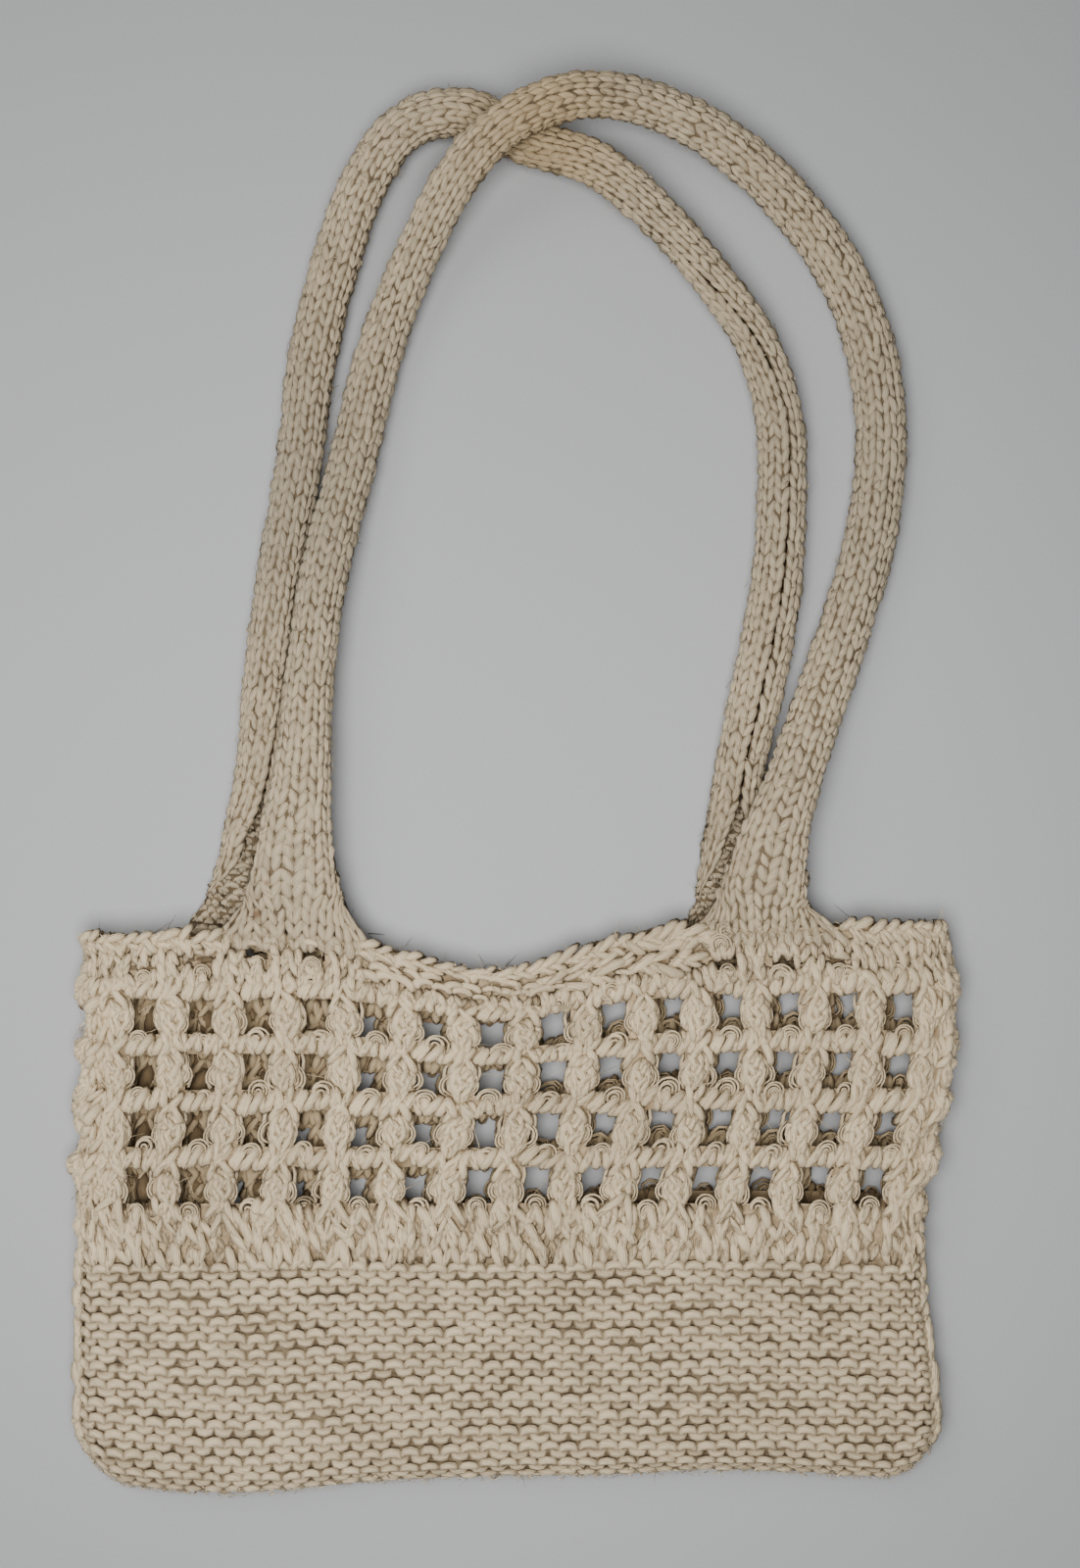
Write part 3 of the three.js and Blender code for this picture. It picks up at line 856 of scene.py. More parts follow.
class NodeDesk:
    """Adds and joins shader nodes in one tree."""

    def __init__(self, tree: bpy.types.NodeTree) -> None:
        """Keeps the tree to work in."""
        self.tree = tree

    def add(self, kind: str, **inputs: object) -> bpy.types.Node:
        """Adds a node.

        Args:
            kind: the node's type.
            inputs: values or sockets for its inputs, by name with underscores for spaces.

        Returns:
            The node.
        """
        node = self.tree.nodes.new(kind)
        for name, value in inputs.items():
            self.feed(node.inputs[name.replace("_", " ")], value)
        return node

    def feed(self, socket: bpy.types.NodeSocket, value: object) -> None:
        """Sets a socket's value, or links another socket to it."""
        if isinstance(value, bpy.types.NodeSocket):
            self.tree.links.new(value, socket)
        else:
            socket.default_value = value

    def group(self, tree: bpy.types.NodeTree, **inputs: object) -> bpy.types.Node:
        """Places a shared group.

        Args:
            tree: the group.
            inputs: values or sockets for its inputs, by name.

        Returns:
            The group's node.
        """
        node = self.tree.nodes.new("ShaderNodeGroup")
        node.node_tree = tree
        for name, value in inputs.items():
            self.feed(node.inputs[name], value)
        return node

    def noise(self, place: bpy.types.NodeSocket, scale: float, detail: float) -> bpy.types.NodeSocket:
        """Adds cloudy noise and gives its strength."""
        return self.add("ShaderNodeTexNoise", Vector=place, Scale=scale, Detail=detail).outputs["Fac"]

    def sum(
        self, operation: str, first: object, second: object = 0.0, held: bool = False
    ) -> bpy.types.NodeSocket:
        """Does one sum.

        Args:
            operation: the kind of sum.
            first: its first value or socket.
            second: its second value or socket.
            held: whether the result is held between nought and one.

        Returns:
            The socket of the result.
        """
        node = self.tree.nodes.new("ShaderNodeMath")
        node.operation = operation
        node.use_clamp = held
        self.feed(node.inputs[0], first)
        self.feed(node.inputs[1], second)
        return node.outputs[0]

    def plus(
        self, total: object, part: object, weight: object, held: bool = False
    ) -> bpy.types.NodeSocket:
        """Adds a weighted part to a total.

        Args:
            total: the value or socket to add to.
            part: the value or socket to add.
            weight: how much of the part is added.
            held: whether the result is held between nought and one.

        Returns:
            The socket of the result.
        """
        return self.sum("ADD", total, self.sum("MULTIPLY", part, weight), held)

    def vector(
        self, operation: str, first: bpy.types.NodeSocket, second: Colour | None = None
    ) -> bpy.types.Node:
        """Does one sum with vectors.

        Args:
            operation: the kind of sum.
            first: the socket of its first vector.
            second: its second vector, if it has one.

        Returns:
            The node.
        """
        node = self.tree.nodes.new("ShaderNodeVectorMath")
        node.operation = operation
        self.feed(node.inputs[0], first)
        if second:
            self.feed(node.inputs[1], second)
        return node

    def mix(self, share: object, first: object, second: object) -> bpy.types.NodeSocket:
        """Mixes two colours.

        Args:
            share: how much of the second shows.
            first: the first colour or socket.
            second: the second colour or socket.

        Returns:
            The socket of the mixed colour.
        """
        node = self.tree.nodes.new("ShaderNodeMix")
        node.data_type = "RGBA"
        self.feed(node.inputs["Factor"], share)
        self.feed(node.inputs[6], first)
        self.feed(node.inputs[7], second)
        return node.outputs[2]

    def ramp(self, value: object, low: float, high: float) -> bpy.types.NodeSocket:
        """Eases a value from nought at low to one at high."""
        node = self.add("ShaderNodeMapRange", Value=value, From_Min=low, From_Max=high)
        node.interpolation_type = "SMOOTHSTEP"
        return node.outputs["Result"]

    def coat(self, shader: bpy.types.Node, colour: object, bump: float, depth: float, height: object) -> None:
        """Gives a shader its colour and its bumps.

        Args:
            shader: the shader.
            colour: the colour or its socket.
            bump: how strong the bumps are.
            depth: how deep they are, in metres.
            height: the socket of their height.
        """
        bumps = self.add("ShaderNodeBump", Strength=bump, Distance=depth, Height=height)
        self.feed(shader.inputs["Base Color"], colour)
        self.feed(shader.inputs["Normal"], bumps.outputs["Normal"])


def start_material(
    name: str, roughness: float, specular: float
) -> tuple[bpy.types.Material, NodeDesk, bpy.types.Node]:
    """Starts a material.

    Args:
        name: its name.
        roughness: its roughness.
        specular: how strongly it mirrors light.

    Returns:
        The material, the desk for its nodes, and its shader.
    """
    material = bpy.data.materials.new(name)
    material.use_nodes = True
    shader = material.node_tree.nodes["Principled BSDF"]
    shader.inputs["Roughness"].default_value = roughness
    shader.inputs["Specular IOR Level"].default_value = specular
    return material, NodeDesk(material.node_tree), shader


@dataclass(frozen=True)
class CottonFinish:
    """Colours of one lot of cotton yarn, as linear values: light is its own colour, deep the colour it turns
    to in painted shade and in its darker random tone.
    """

    name: str
    light: Colour
    deep: Colour
    roughness: float = 0.92
    specular: float = 0.18
    twist: float = 0.45
    bump: float = 0.7
    bump_depth: float = 0.0004
    sheen: float = 0.05
    sheen_roughness: float = 0.6

    def build(self, plies: bpy.types.NodeTree, stains_and_shade: bpy.types.NodeTree) -> bpy.types.Material:
        """Makes the yarn's material.

        Args:
            plies: the shared group that twists the yarn.
            stains_and_shade: the shared group that colours it, with its stains and painted shade.

        Returns:
            The material.
        """
        material, desk, shader = start_material(self.name, self.roughness, self.specular)
        shader.inputs["Sheen Weight"].default_value = self.sheen
        shader.inputs["Sheen Roughness"].default_value = self.sheen_roughness
        twist = desk.group(plies, Twist=self.twist)
        lot = {"Light": (*self.light, 1.0), "Deep": (*self.deep, 1.0)}
        stains_and_shade_node = desk.group(stains_and_shade, Groove=twist.outputs["Groove"], **lot)
        desk.coat(shader, stains_and_shade_node.outputs["Colour"], self.bump, self.bump_depth, twist.outputs["Height"])
        return material


class ColourPatch(NamedTuple):
    """A patch of colour on the cloth, a real stain or painted shade: its middle and radius in the bag's
    frame, in metres, its colour and strength.
    """

    x: float
    y: float
    radius: float
    colour: Colour
    strength: float


class CottonGroups:
    """The effects that all the bag's yarns share."""

    STAINS_AND_SHADE = (
        # Small dark spots: real stains.
        ColourPatch(-0.0887, -0.043, 0.0026, (0.19, 0.10, 0.05), 0.75),
        ColourPatch(-0.0850, -0.032, 0.0018, (0.2, 0.115, 0.06), 0.6),
        ColourPatch(-0.136, -0.198, 0.0022, (0.11, 0.08, 0.05), 0.8),
        # A yellow-tan patch over the top of the handles, where they cross.
        ColourPatch(0.010, 0.226, 0.045, (0.50, 0.36, 0.19), 0.45),
        # Two broad greyish patches over the legs of the handles, left and right: painted shade.
        ColourPatch(-0.085, 0.105, 0.085, (0.36, 0.31, 0.235), 0.65),
        ColourPatch(0.125, 0.110, 0.095, (0.36, 0.31, 0.235), 0.5),
    )

    def plies(self) -> bpy.types.NodeTree:
        """Makes the group that twists plies and fibres along the yarn map: their height for bumps, and a
        groove value that darkens the colour, painted shade between the plies and streaks along the fibres.
        """
        tree = bpy.data.node_groups.new("yarn_plies", "ShaderNodeTree")
        tree.interface.new_socket("Twist", in_out="INPUT", socket_type="NodeSocketFloat")
        for name in ("Height", "Groove"):
            tree.interface.new_socket(name, in_out="OUTPUT", socket_type="NodeSocketFloat")
        desk = NodeDesk(tree)
        given = tree.nodes.new("NodeGroupInput")
        result = tree.nodes.new("NodeGroupOutput")
        chart = tree.nodes.new("ShaderNodeUVMap")
        chart.uv_map = "yarn"
        split = desk.add("ShaderNodeSeparateXYZ", Vector=chart.outputs["UV"])
        run, threads = split.outputs["X"], split.outputs["Y"]
        waver = desk.noise(chart.outputs["UV"], 0.3, 1.0)
        phase = desk.plus(threads, run, given.outputs["Twist"])
        phase = desk.plus(phase, waver, 1.6)
        wave = desk.sum("ABSOLUTE", desk.sum("SINE", desk.sum("MULTIPLY", phase, math.pi)))
        rounded = desk.sum("POWER", wave, 0.6)
        drawn_out = []
        for along, around, detail in ((0.3, 2.2, 2.0), (0.14, 0.8, 1.0)):
            parts = {"X": desk.sum("MULTIPLY", run, along), "Y": desk.sum("MULTIPLY", phase, around)}
            line = desk.add("ShaderNodeCombineXYZ", **parts).outputs["Vector"]
            drawn_out.append(desk.noise(line, 1.0, detail))
        fibre, streak = drawn_out[0], desk.ramp(drawn_out[1], 0.3, 0.7)
        height = desk.plus(desk.sum("MULTIPLY", rounded, 0.4), fibre, 0.7)
        desk.feed(result.inputs["Height"], desk.plus(height, streak, 0.5))
        hollow = desk.plus(desk.sum("MULTIPLY", rounded, 0.65), fibre, 0.3)
        hollow = desk.plus(hollow, streak, 0.3)
        desk.feed(result.inputs["Groove"], desk.sum("SUBTRACT", 1.0, hollow, held=True))
        return tree

    def stains_and_shade(self) -> bpy.types.NodeTree:
        """Makes the group that colours cotton by its lot, with painted shade by its depth in the cloth and
        between its plies, random tone, and patches of stain or painted shade.
        """
        tree = bpy.data.node_groups.new("cotton_stains_and_shade", "ShaderNodeTree")
        for name in ("Light", "Deep"):
            tree.interface.new_socket(name, in_out="INPUT", socket_type="NodeSocketColor")
        tree.interface.new_socket("Groove", in_out="INPUT", socket_type="NodeSocketFloat")
        tree.interface.new_socket("Colour", in_out="OUTPUT", socket_type="NodeSocketColor")
        desk = NodeDesk(tree)
        given = tree.nodes.new("NodeGroupInput")
        result = tree.nodes.new("NodeGroupOutput")
        place = tree.nodes.new("ShaderNodeTexCoord").outputs["Object"]
        values = {}
        for label in ("tone", "painted_depth_shade"):
            node = tree.nodes.new("ShaderNodeAttribute")
            node.attribute_name = label
            values[label] = node.outputs["Fac"]
        cloudy = desk.noise(place, 22.0, 3.0)
        # Painted shade: the yarn turns to its deep colour in the grooves between its plies and where it lies
        # deep in the cloth.
        share = desk.sum("MULTIPLY", given.outputs["Groove"], 0.5)
        share = desk.plus(share, desk.ramp(values["painted_depth_shade"], 0.25, 0.85), 0.95)
        share = desk.plus(share, desk.sum("SUBTRACT", values["tone"], 0.5), 0.22)
        share = desk.plus(share, desk.sum("SUBTRACT", cloudy, 0.5), 0.45, held=True)
        colour = desk.mix(share, given.outputs["Light"], given.outputs["Deep"])
        for patch in self.STAINS_AND_SHADE:
            aside = desk.vector("SUBTRACT", place, (patch.x, patch.y, 0.0))
            level = desk.vector("MULTIPLY", aside.outputs[0], (1.0, 1.0, 0.0))
            far = desk.vector("LENGTH", level.outputs[0])
            ragged = desk.plus(far.outputs["Value"], cloudy, patch.radius * 0.6)
            near = desk.sum("SUBTRACT", 1.0, desk.ramp(ragged, patch.radius * 0.4, patch.radius * 1.3))
            colour = desk.mix(desk.sum("MULTIPLY", near, patch.strength), colour, (*patch.colour, 1.0))
        desk.feed(result.inputs["Colour"], colour)
        return tree


@dataclass(frozen=True)
class GroundFinish:
    """The shaded inner cloth between the stitches, as linear values."""

    name: str
    light: Colour = (0.26, 0.205, 0.138)
    deep: Colour = (0.15, 0.115, 0.075)
    garter_top: float = -0.1635
    fade: float = 0.002
    above: float = 2.0
    roughness: float = 0.95
    specular: float = 0.1
    bump: float = 0.6
    bump_depth: float = 0.0006

    def build(self) -> bpy.types.Material:
        """Makes the material of knitted cotton seen deep between its stitches.

        Returns:
            The material.
        """
        material, desk, shader = start_material(self.name, self.roughness, self.specular)
        place = desk.add("ShaderNodeTexCoord").outputs["Object"]
        fine = desk.noise(place, 420.0, 4.0)
        broad = desk.noise(place, 30.0, 2.0)
        share = desk.ramp(desk.sum("MULTIPLY", desk.sum("ADD", fine, broad), 0.5), 0.35, 0.65)
        tones = []
        # The ground is painted shade between the stitches; above the garter top it is lighter, by the factor
        # above.
        for times in (1.0, self.above):
            deep, light = ((*(times * part for part in colour), 1.0) for colour in (self.deep, self.light))
            tones.append(desk.mix(share, deep, light))
        height = desk.add("ShaderNodeSeparateXYZ", Vector=place).outputs["Y"]
        in_net = desk.ramp(height, self.garter_top - self.fade, self.garter_top + self.fade)
        desk.coat(shader, desk.mix(in_net, *tones), self.bump, self.bump_depth, fine)
        return material


class Eyelet(NamedTuple):
    """A small hole in the border: its gap column, height and half width, and whether it is shut."""

    gap: int
    height: float
    half: float
    slit: bool = False


class Knitted:
    """A cloth with pieces of yarn on it, which stand for one node of the frame."""

    node: str
    slot: str
    ground: bpy.types.Object
    pieces: list[bpy.types.Object]

    def dress(self, yarn: bpy.types.Material, ground: bpy.types.Material) -> None:
        """Gives the pieces their finish and ties them to the bag.

        Args:
            yarn: the yarn's finish.
            ground: the finish of the cloth between the stitches.
        """
        self.ground.data.materials.clear()
        self.ground.data.materials.append(ground)
        for piece in self.pieces:
            piece.data.materials.append(yarn)
        for piece in (self.ground, *self.pieces):
            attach(piece, "root")
        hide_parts(self.node)


@dataclass
class KnitPanel(Knitted):
    """One panel of the bag: its cloth, garter, band, net, border and loose fibres."""

    side: Side
    body: Body
    lie: Lie
    book: StitchBook
    garter_pitch: float = 6.7
    garter_drift: float = 0.22
    grid_step: float = 1.0
    shrink: float = 1.5
    eyelets: tuple[Eyelet, ...] = (
        Eyelet(0, 177.5, 5.0, True),
        Eyelet(1, 180.0, 5.0, True),
        Eyelet(2, 183.5, 5.0),
        Eyelet(3, 183.5, 5.0),
        Eyelet(10, 178.0, 5.0),
        Eyelet(11, 177.0, 5.0),
        Eyelet(12, 177.0, 5.0, True),
    )
    roots: tuple[tuple[float, float], ...] = ()
    root_bottom: float = 184.0
    inner_at: tuple[float, ...] = (-140.0, -70.0, 10.0)
    inner_lift: tuple[float, ...] = (-0.6, 0.4, 1.3)
    inner_shade: tuple[float, ...] = (0.45, 0.38, 0.15)
    tangle: tuple[float, float] = (66.0, 184.0)
    lumps: tuple[float, float] = (-50.0, 12.0)
    ropes: tuple[float, float] = (12.0, 62.0)
    lump_pitch: float = 6.2
    rope_pitch: float = 5.6
    rope_stretch: float = 1.35
    border_bottom: float = 173.2
    border_courses: int = 4
    border_course: float = 4.1
    border_pitch: float = 4.9
    border_reach: int = 31
    hole_half_height: float = 2.9
    lip_pitch: float = 4.8
    front_lip_drop: float = 0.9
    back_lip_drop: float = 3.6
    weld: float = 0.00002
    front_fibres: int = 60
    back_fibres: int = 24
    loose_threads: int = 30
    pieces: list[bpy.types.Object] = field(default_factory=list)

    @property
    def node(self) -> str:
        """Gives the name of the panel's node."""
        return f"panel_{self.side.word}"

    @property
    def slot(self) -> str:
        """Gives the name of the panel's material slot."""
        return f"cotton_{self.side.word}"

    def _places(self) -> tuple[np.ndarray, np.ndarray]:
        """Gives the places across of the bobble columns and of the gaps between them."""
        columns = self.body.column_middles()
        return columns, (columns[:-1] + columns[1:]) / 2

    def surface(self) -> Surface:
        """Lays the panel's outer face out as a grid.

        Returns:
            The cloth to place stitches on.
        """
        body = self.body
        reach = body.half_developed
        across = np.arange(-reach, reach + self.grid_step / 2, self.grid_step)
        up = np.arange(body.lowest_developed, body.height + self.grid_step, self.grid_step)
        a, u = np.meshgrid(across, up, indexing="ij")
        edge = body.edge_radius
        corner_x = body.width / 2 - body.corner
        corner_flat = body.corner - edge
        corner_reach = corner_flat + edge * math.pi / 2
        p = np.maximum(np.abs(a) - corner_x, 0.0) / corner_reach
        q = np.maximum(body.corner - u, 0.0) / corner_reach
        out_x = p * np.sqrt(np.maximum(1 - q * q / 2, 0.0))
        out_y = -q * np.sqrt(np.maximum(1 - p * p / 2, 0.0))
        size = np.maximum(np.hypot(out_x, out_y), SHORTEST)
        reach_out = size * corner_reach
        angle = np.maximum(reach_out - corner_flat, 0.0) / edge
        radial = np.minimum(reach_out, corner_flat) + edge * np.sin(angle)
        x = np.sign(a) * (np.minimum(np.abs(a), corner_x) + out_x / size * radial)
        y = np.maximum(u, body.corner) + out_y / size * radial
        placed_x, placed_y = self.lie.settle(x, y, self.side)
        sag = body.front_sag * (1 - (x / (body.width / 2)) ** 2) if self.side is Side.FRONT else 0.0
        half_gap = body.join_gap / 2
        rise = half_gap + (edge - half_gap - sag) * np.cos(angle)
        z = edge + self.side.value * rise
        return Surface(across, up, np.stack((placed_x, placed_y, z), axis=2), self.side is Side.BACK)

    def build(self) -> None:
        """Makes the panel's cloth and lays all its stitches."""
        cloth = self.surface()
        seed = 100 if self.side is Side.FRONT else 200
        self.ground = self._ground()
        # Each part's crest is the height below which its stitches take painted shade by depth.
        for part, number, shade_crest, steps in (
            ("garter", 1, 0.9, (self._garter,)),
            ("net", 2, -0.5, (self._net,)),
            ("borders", 4, 1.2, (self._band, self._border)),
            ("fibres", 3, 0.0, (self._fuzz,)),
        ):
            weave = Weave(f"{self.node}_{part}", cloth, seed + number, shade_crest)
            for step in steps:
                step(weave)
            self.pieces.append(weave.make())

    def _ground(self) -> bpy.types.Object:
        """Makes the cloth between the stitches from the panel's solid, drawn in a little."""
        mesh = bmesh.new()
        mesh.from_mesh(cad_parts[self.node].data)
        bmesh.ops.remove_doubles(mesh, verts=mesh.verts, dist=self.weld)
        mesh.normal_update()
        for vert in mesh.verts:
            vert.co -= vert.normal * self.shrink * MM
        return finished(mesh, f"{self.node}_cloth")

    def _garter(self, weave: Weave) -> None:
        """Lays the ridges of garter stitch.

        Args:
            weave: the piece they go to.
        """
        body = self.body
        reach = body.half_developed - 1.0
        many = int(2 * reach / self.garter_pitch)
        pitch = 2 * reach / many
        places = (np.arange(many) - (many - 1) / 2) * pitch
        uneven = Hand(place=0.2, turn=0.08, size=0.05, lift=0.12)
        lay = partial(weave.lay, stretch=pitch / self.garter_pitch, hand=uneven)
        for ridge in range(body.ridges):
            start = body.garter_top - (body.ridges - ridge) * body.ridge_pitch
            shift = self.garter_drift * ridge
            over = np.clip(places + shift, -reach, reach)
            under = np.clip(places + shift + pitch / 2, -reach, reach)
            broad = 0.6 * np.sin(places / 21.0 + 0.4 * ridge)
            start = start + broad + 0.25 * np.sin(places / 8.5 + 1.7 * ridge)
            lay(self.book.bump_over, over, start + 3.4)
            lay(self.book.bump_under, under, start + 1.75, lift=-0.45)
        if self.side is Side.BACK:
            return
        knots = Hand(place=0.7, turn=0.45, size=0.2, lift=0.6)
        heights = np.arange(6.0, body.garter_top, body.ridge_pitch / 2)
        for hand in HANDS:
            at, turn = hand * (body.half_developed - 1.5), hand * math.pi / 2
            weave.lay(self.book.bump_over, at, heights, lift=1.3, turn=turn, hand=knots)

    def _band(self, weave: Weave) -> None:
        """Lays the plain band between the garter and the net.

        Args:
            weave: the piece it goes to.
        """
        columns, gaps = self._places()
        third = self.body.column_pitch / 3
        small = np.arange(-24, 24) * third + third / 2
        rough = Hand(place=0.6, turn=0.24, size=0.12, lift=0.85)
        lay = partial(weave.lay, hand=rough)
        for height, shift in ((77.4, 0.0), (81.8, third / 2), (86.4, 0.0), (91.0, third / 2)):
            for leg in self.book.flat_legs:
                lay(leg, small + shift, height, grow=1.12)
        lay(self.book.spread_legs, columns, 91.4, lift=0.6)
        lay(self.book.spread_legs, columns, 86.6, grow=0.75, lift=0.6)
        # The band's rosettes take less painted shade than their depth gives.
        for kind, rosette in enumerate(self.book.rosettes):
            lay(rosette, gaps[kind::3], 93.4, lift=0.4, shade=-0.3)

    def _net(self, weave: Weave) -> None:
        """Lays the bobbles, bars and thin loops of the net.

        Args:
            weave: the piece they go to.
        """
        body, book, chance = self.body, self.book, weave.chance
        columns, gaps = self._places()
        loose = Hand(place=0.5, turn=0.12, size=0.07, lift=0.3)
        rough = Hand(place=0.9, turn=0.35, size=0.12, lift=0.6)
        faces = (None,) if self.side is Side.FRONT else (None, body.wall)
        edge = body.width / 2 - 1.0
        for inside in faces:
            lay, mixed = partial(weave.lay, inside=inside), partial(weave.lay_mixed, inside=inside)
            level = (np.zeros(3), np.zeros(3))
            # Behind the front net the back's yarn takes painted shade, most on the left.
            hollow, dusk = level if inside is None else (self.inner_lift, self.inner_shade)
            proud, proud_gap = (np.interp(places, self.inner_at, hollow) for places in (columns, gaps))
            dark, dark_gap = (np.interp(places, self.inner_at, dusk) for places in (columns, gaps))
            for row in body.row_middles():
                bar = row + body.row_pitch / 2
                kinds = chance.integers(0, len(book.bobbles), size=len(columns))
                mixed(book.bobbles, kinds, columns, row, proud, dark, hand=loose)
                if inside is not None:
                    # More yarn shows behind the gaps on the left, most of all near the mouth, in painted
                    # shade.
                    left = columns[1 : 5 if row > body.height * 0.7 else 2]
                    lay(book.bobbles[2], left - 6.5, row + 1.0, lift=-0.4, shade=0.4, hand=loose)
                for form in (book.peak, book.foot):
                    lay(form, columns, row, lift=proud, shade=dark, hand=loose)
                kinds = chance.integers(0, len(book.bars), size=len(gaps))
                mixed(book.bars, kinds, gaps, bar, proud_gap, dark_gap, hand=loose)
                kinds = chance.integers(0, len(book.rosettes), size=len(gaps))
                places = gaps + chance.uniform(-2.0, 2.0, size=len(gaps))
                if inside == faces[-1]:
                    # The rosettes and ears take less painted shade than their depth gives.
                    raised, dim = proud_gap + 0.5, 0.5 * dark_gap - 0.35
                    mixed(book.rosettes, kinds, places, bar + 1.9, raised, dim, hand=rough)
                    for form in book.ears:
                        lay(form, columns, row, lift=proud, shade=0.5 * dark - 0.3, hand=loose)
                for hand in HANDS:
                    lay(book.bobbles[0], hand * edge, row + 8.0, hand=rough, grow=0.95)
                    lay(book.bobbles[1], hand * edge, row - 1.6, hand=rough, grow=0.85)
                    for number, rise in enumerate((-6.0, -1.0, 4.0, 9.0)):
                        form = book.bars[number % len(book.bars)]
                        lay(form, hand * (edge - 5.5), row + rise, lift=-0.5, hand=rough)

    def _border(self, weave: Weave) -> None:
        """Lays the border and the edge of the mouth.

        Args:
            weave: the piece they go to.
        """
        body, book = self.body, self.book
        front = self.side is Side.FRONT
        across = np.arange(-self.border_reach, self.border_reach + 1)
        places = across * self.border_pitch
        gaps = self._places()[1]
        rough = Hand(place=0.55, turn=0.22, size=0.1, lift=0.55)
        lay = partial(weave.lay, hand=rough)
        for number in range(self.border_courses):
            height = self.border_bottom + number * self.border_course
            keep = np.ones(len(places), dtype=bool)
            for eyelet in self.eyelets:
                if abs(height - eyelet.height) < self.hole_half_height:
                    keep &= np.abs(places - gaps[eyelet.gap]) >= eyelet.half
            for middle, half in self.roots:
                keep &= (np.abs(places - middle) > half) | (height < self.root_bottom)
            if front and number:
                keep &= (places < self.lumps[0]) | (places > self.ropes[1])
            for leg in book.flat_legs:
                lay(leg, places[keep], height, grow=0.9)
        lip = across * self.lip_pitch
        lip = lip[np.all([np.abs(lip - middle) > half for middle, half in self.roots], axis=0)]
        edge = body.height - (self.front_lip_drop if front else self.back_lip_drop)
        twisted = Hand(place=0.55, turn=0.22, size=0.13, lift=0.5)
        long = np.where((lip > self.ropes[0]) & (lip < self.ropes[1]), self.rope_stretch, 1.0)
        weave.lay(book.chain_up, lip, edge, lift=0.4, stretch=long, hand=twisted)
        weave.lay(book.chain_down, lip + 2.4, edge - 2.9, lift=0.2, stretch=long, hand=twisted)
        if not front:
            # Yarn behind the back's eyelets takes a little painted shade.
            for eyelet in self.eyelets:
                beside, above = 4.0 * np.arange(-2, 3), 3.0 * np.arange(-1, 3)
                behind = np.meshgrid(gaps[eyelet.gap] + beside, eyelet.height + above)
                lay(book.purl, *behind, lift=2.5, shade=0.2, inside=body.wall)
            return
        self._rolled(weave)
        for number, eyelet in enumerate(self.eyelets):
            middle = gaps[eyelet.gap]
            form = book.rosettes[number % len(book.rosettes)]
            lay(form, middle, eyelet.height - 3.4, lift=0.6, grow=0.8)
            for rise, turn in ((3.2, 0.0), (-3.2, math.pi)):
                lay(book.purl, middle, eyelet.height + rise, lift=-0.2, turn=turn)
            # A shut eyelet shows as a slit: yarn laid in it in full painted shade.
            if eyelet.slit:
                lay(book.purl, middle + 3.0 * np.arange(-1, 2), eyelet.height, lift=-1.6, shade=1.0)
        across, up = self.tangle
        for number, rosette in enumerate(book.rosettes):
            lay(rosette, across + 1.5 * number, up + 2.2 * number, lift=1.6, turn=0.9 * number)

    def _rolled(self, weave: Weave) -> None:
        """Lays the lumps and ropes in the middle of the mouth, where its edge rolls over.

        Args:
            weave: the piece they go to.
        """
        book = self.book
        loose = Hand(place=0.9, turn=0.2, size=0.2, lift=0.5)
        links = np.arange(*self.ropes, self.rope_pitch)
        for height, form, lift in (
            (183.2, book.chain_up, 0.2),
            (180.2, book.chain_up, 0.6),
            (177.6, book.chain_down, 0.5),
        ):
            weave.lay(form, links, height, lift=lift, stretch=self.rope_stretch, hand=loose)
        rough = Hand(place=0.8, turn=0.35, size=0.18, lift=0.5)
        lumps = np.arange(*self.lumps, self.lump_pitch)
        for number, height in enumerate((185.4, 181.6, 177.8)):
            shift = self.lump_pitch / 2 * (number % 2)
            weave.lay(book.bump_over, lumps + shift, height, lift=0.9, grow=1.05, hand=rough)

    def _fuzz(self, weave: Weave) -> None:
        """Lays loose fibres over the panel.

        Args:
            weave: the piece they go to.
        """
        body, chance = self.body, weave.chance
        front = self.side is Side.FRONT
        many = self.front_fibres if front else self.back_fibres
        half = body.width / 2
        lay = partial(weave.lay, shade=-1.0, hand=WILD)
        for hair in self.book.hairs:
            hand = chance.choice(HANDS, many)
            across = hand * (body.half_developed - np.abs(chance.normal(scale=5.0, size=many)))
            lay(hair, across, chance.uniform(0.0, body.height, many), lift=-0.4)
            across = chance.uniform(-half, half, many)
            lay(hair, across, body.lowest_developed + np.abs(chance.normal(scale=4.0, size=many)), lift=-0.4)
            lay(hair, across, body.height - np.abs(chance.normal(scale=3.0, size=many)), lift=-0.4)
        for thread in self.book.threads if front else ():
            across = chance.uniform(-half, half, self.loose_threads)
            lay(thread, across, chance.uniform(body.garter_top, body.height, self.loose_threads), lift=-0.7)


class Section(NamedTuple):
    """One place along a handle, in millimetres, and how flat the strip lies there."""

    x: float
    y: float
    z: float
    width: float
    thick: float = 13.0
    flat: float = 0.0


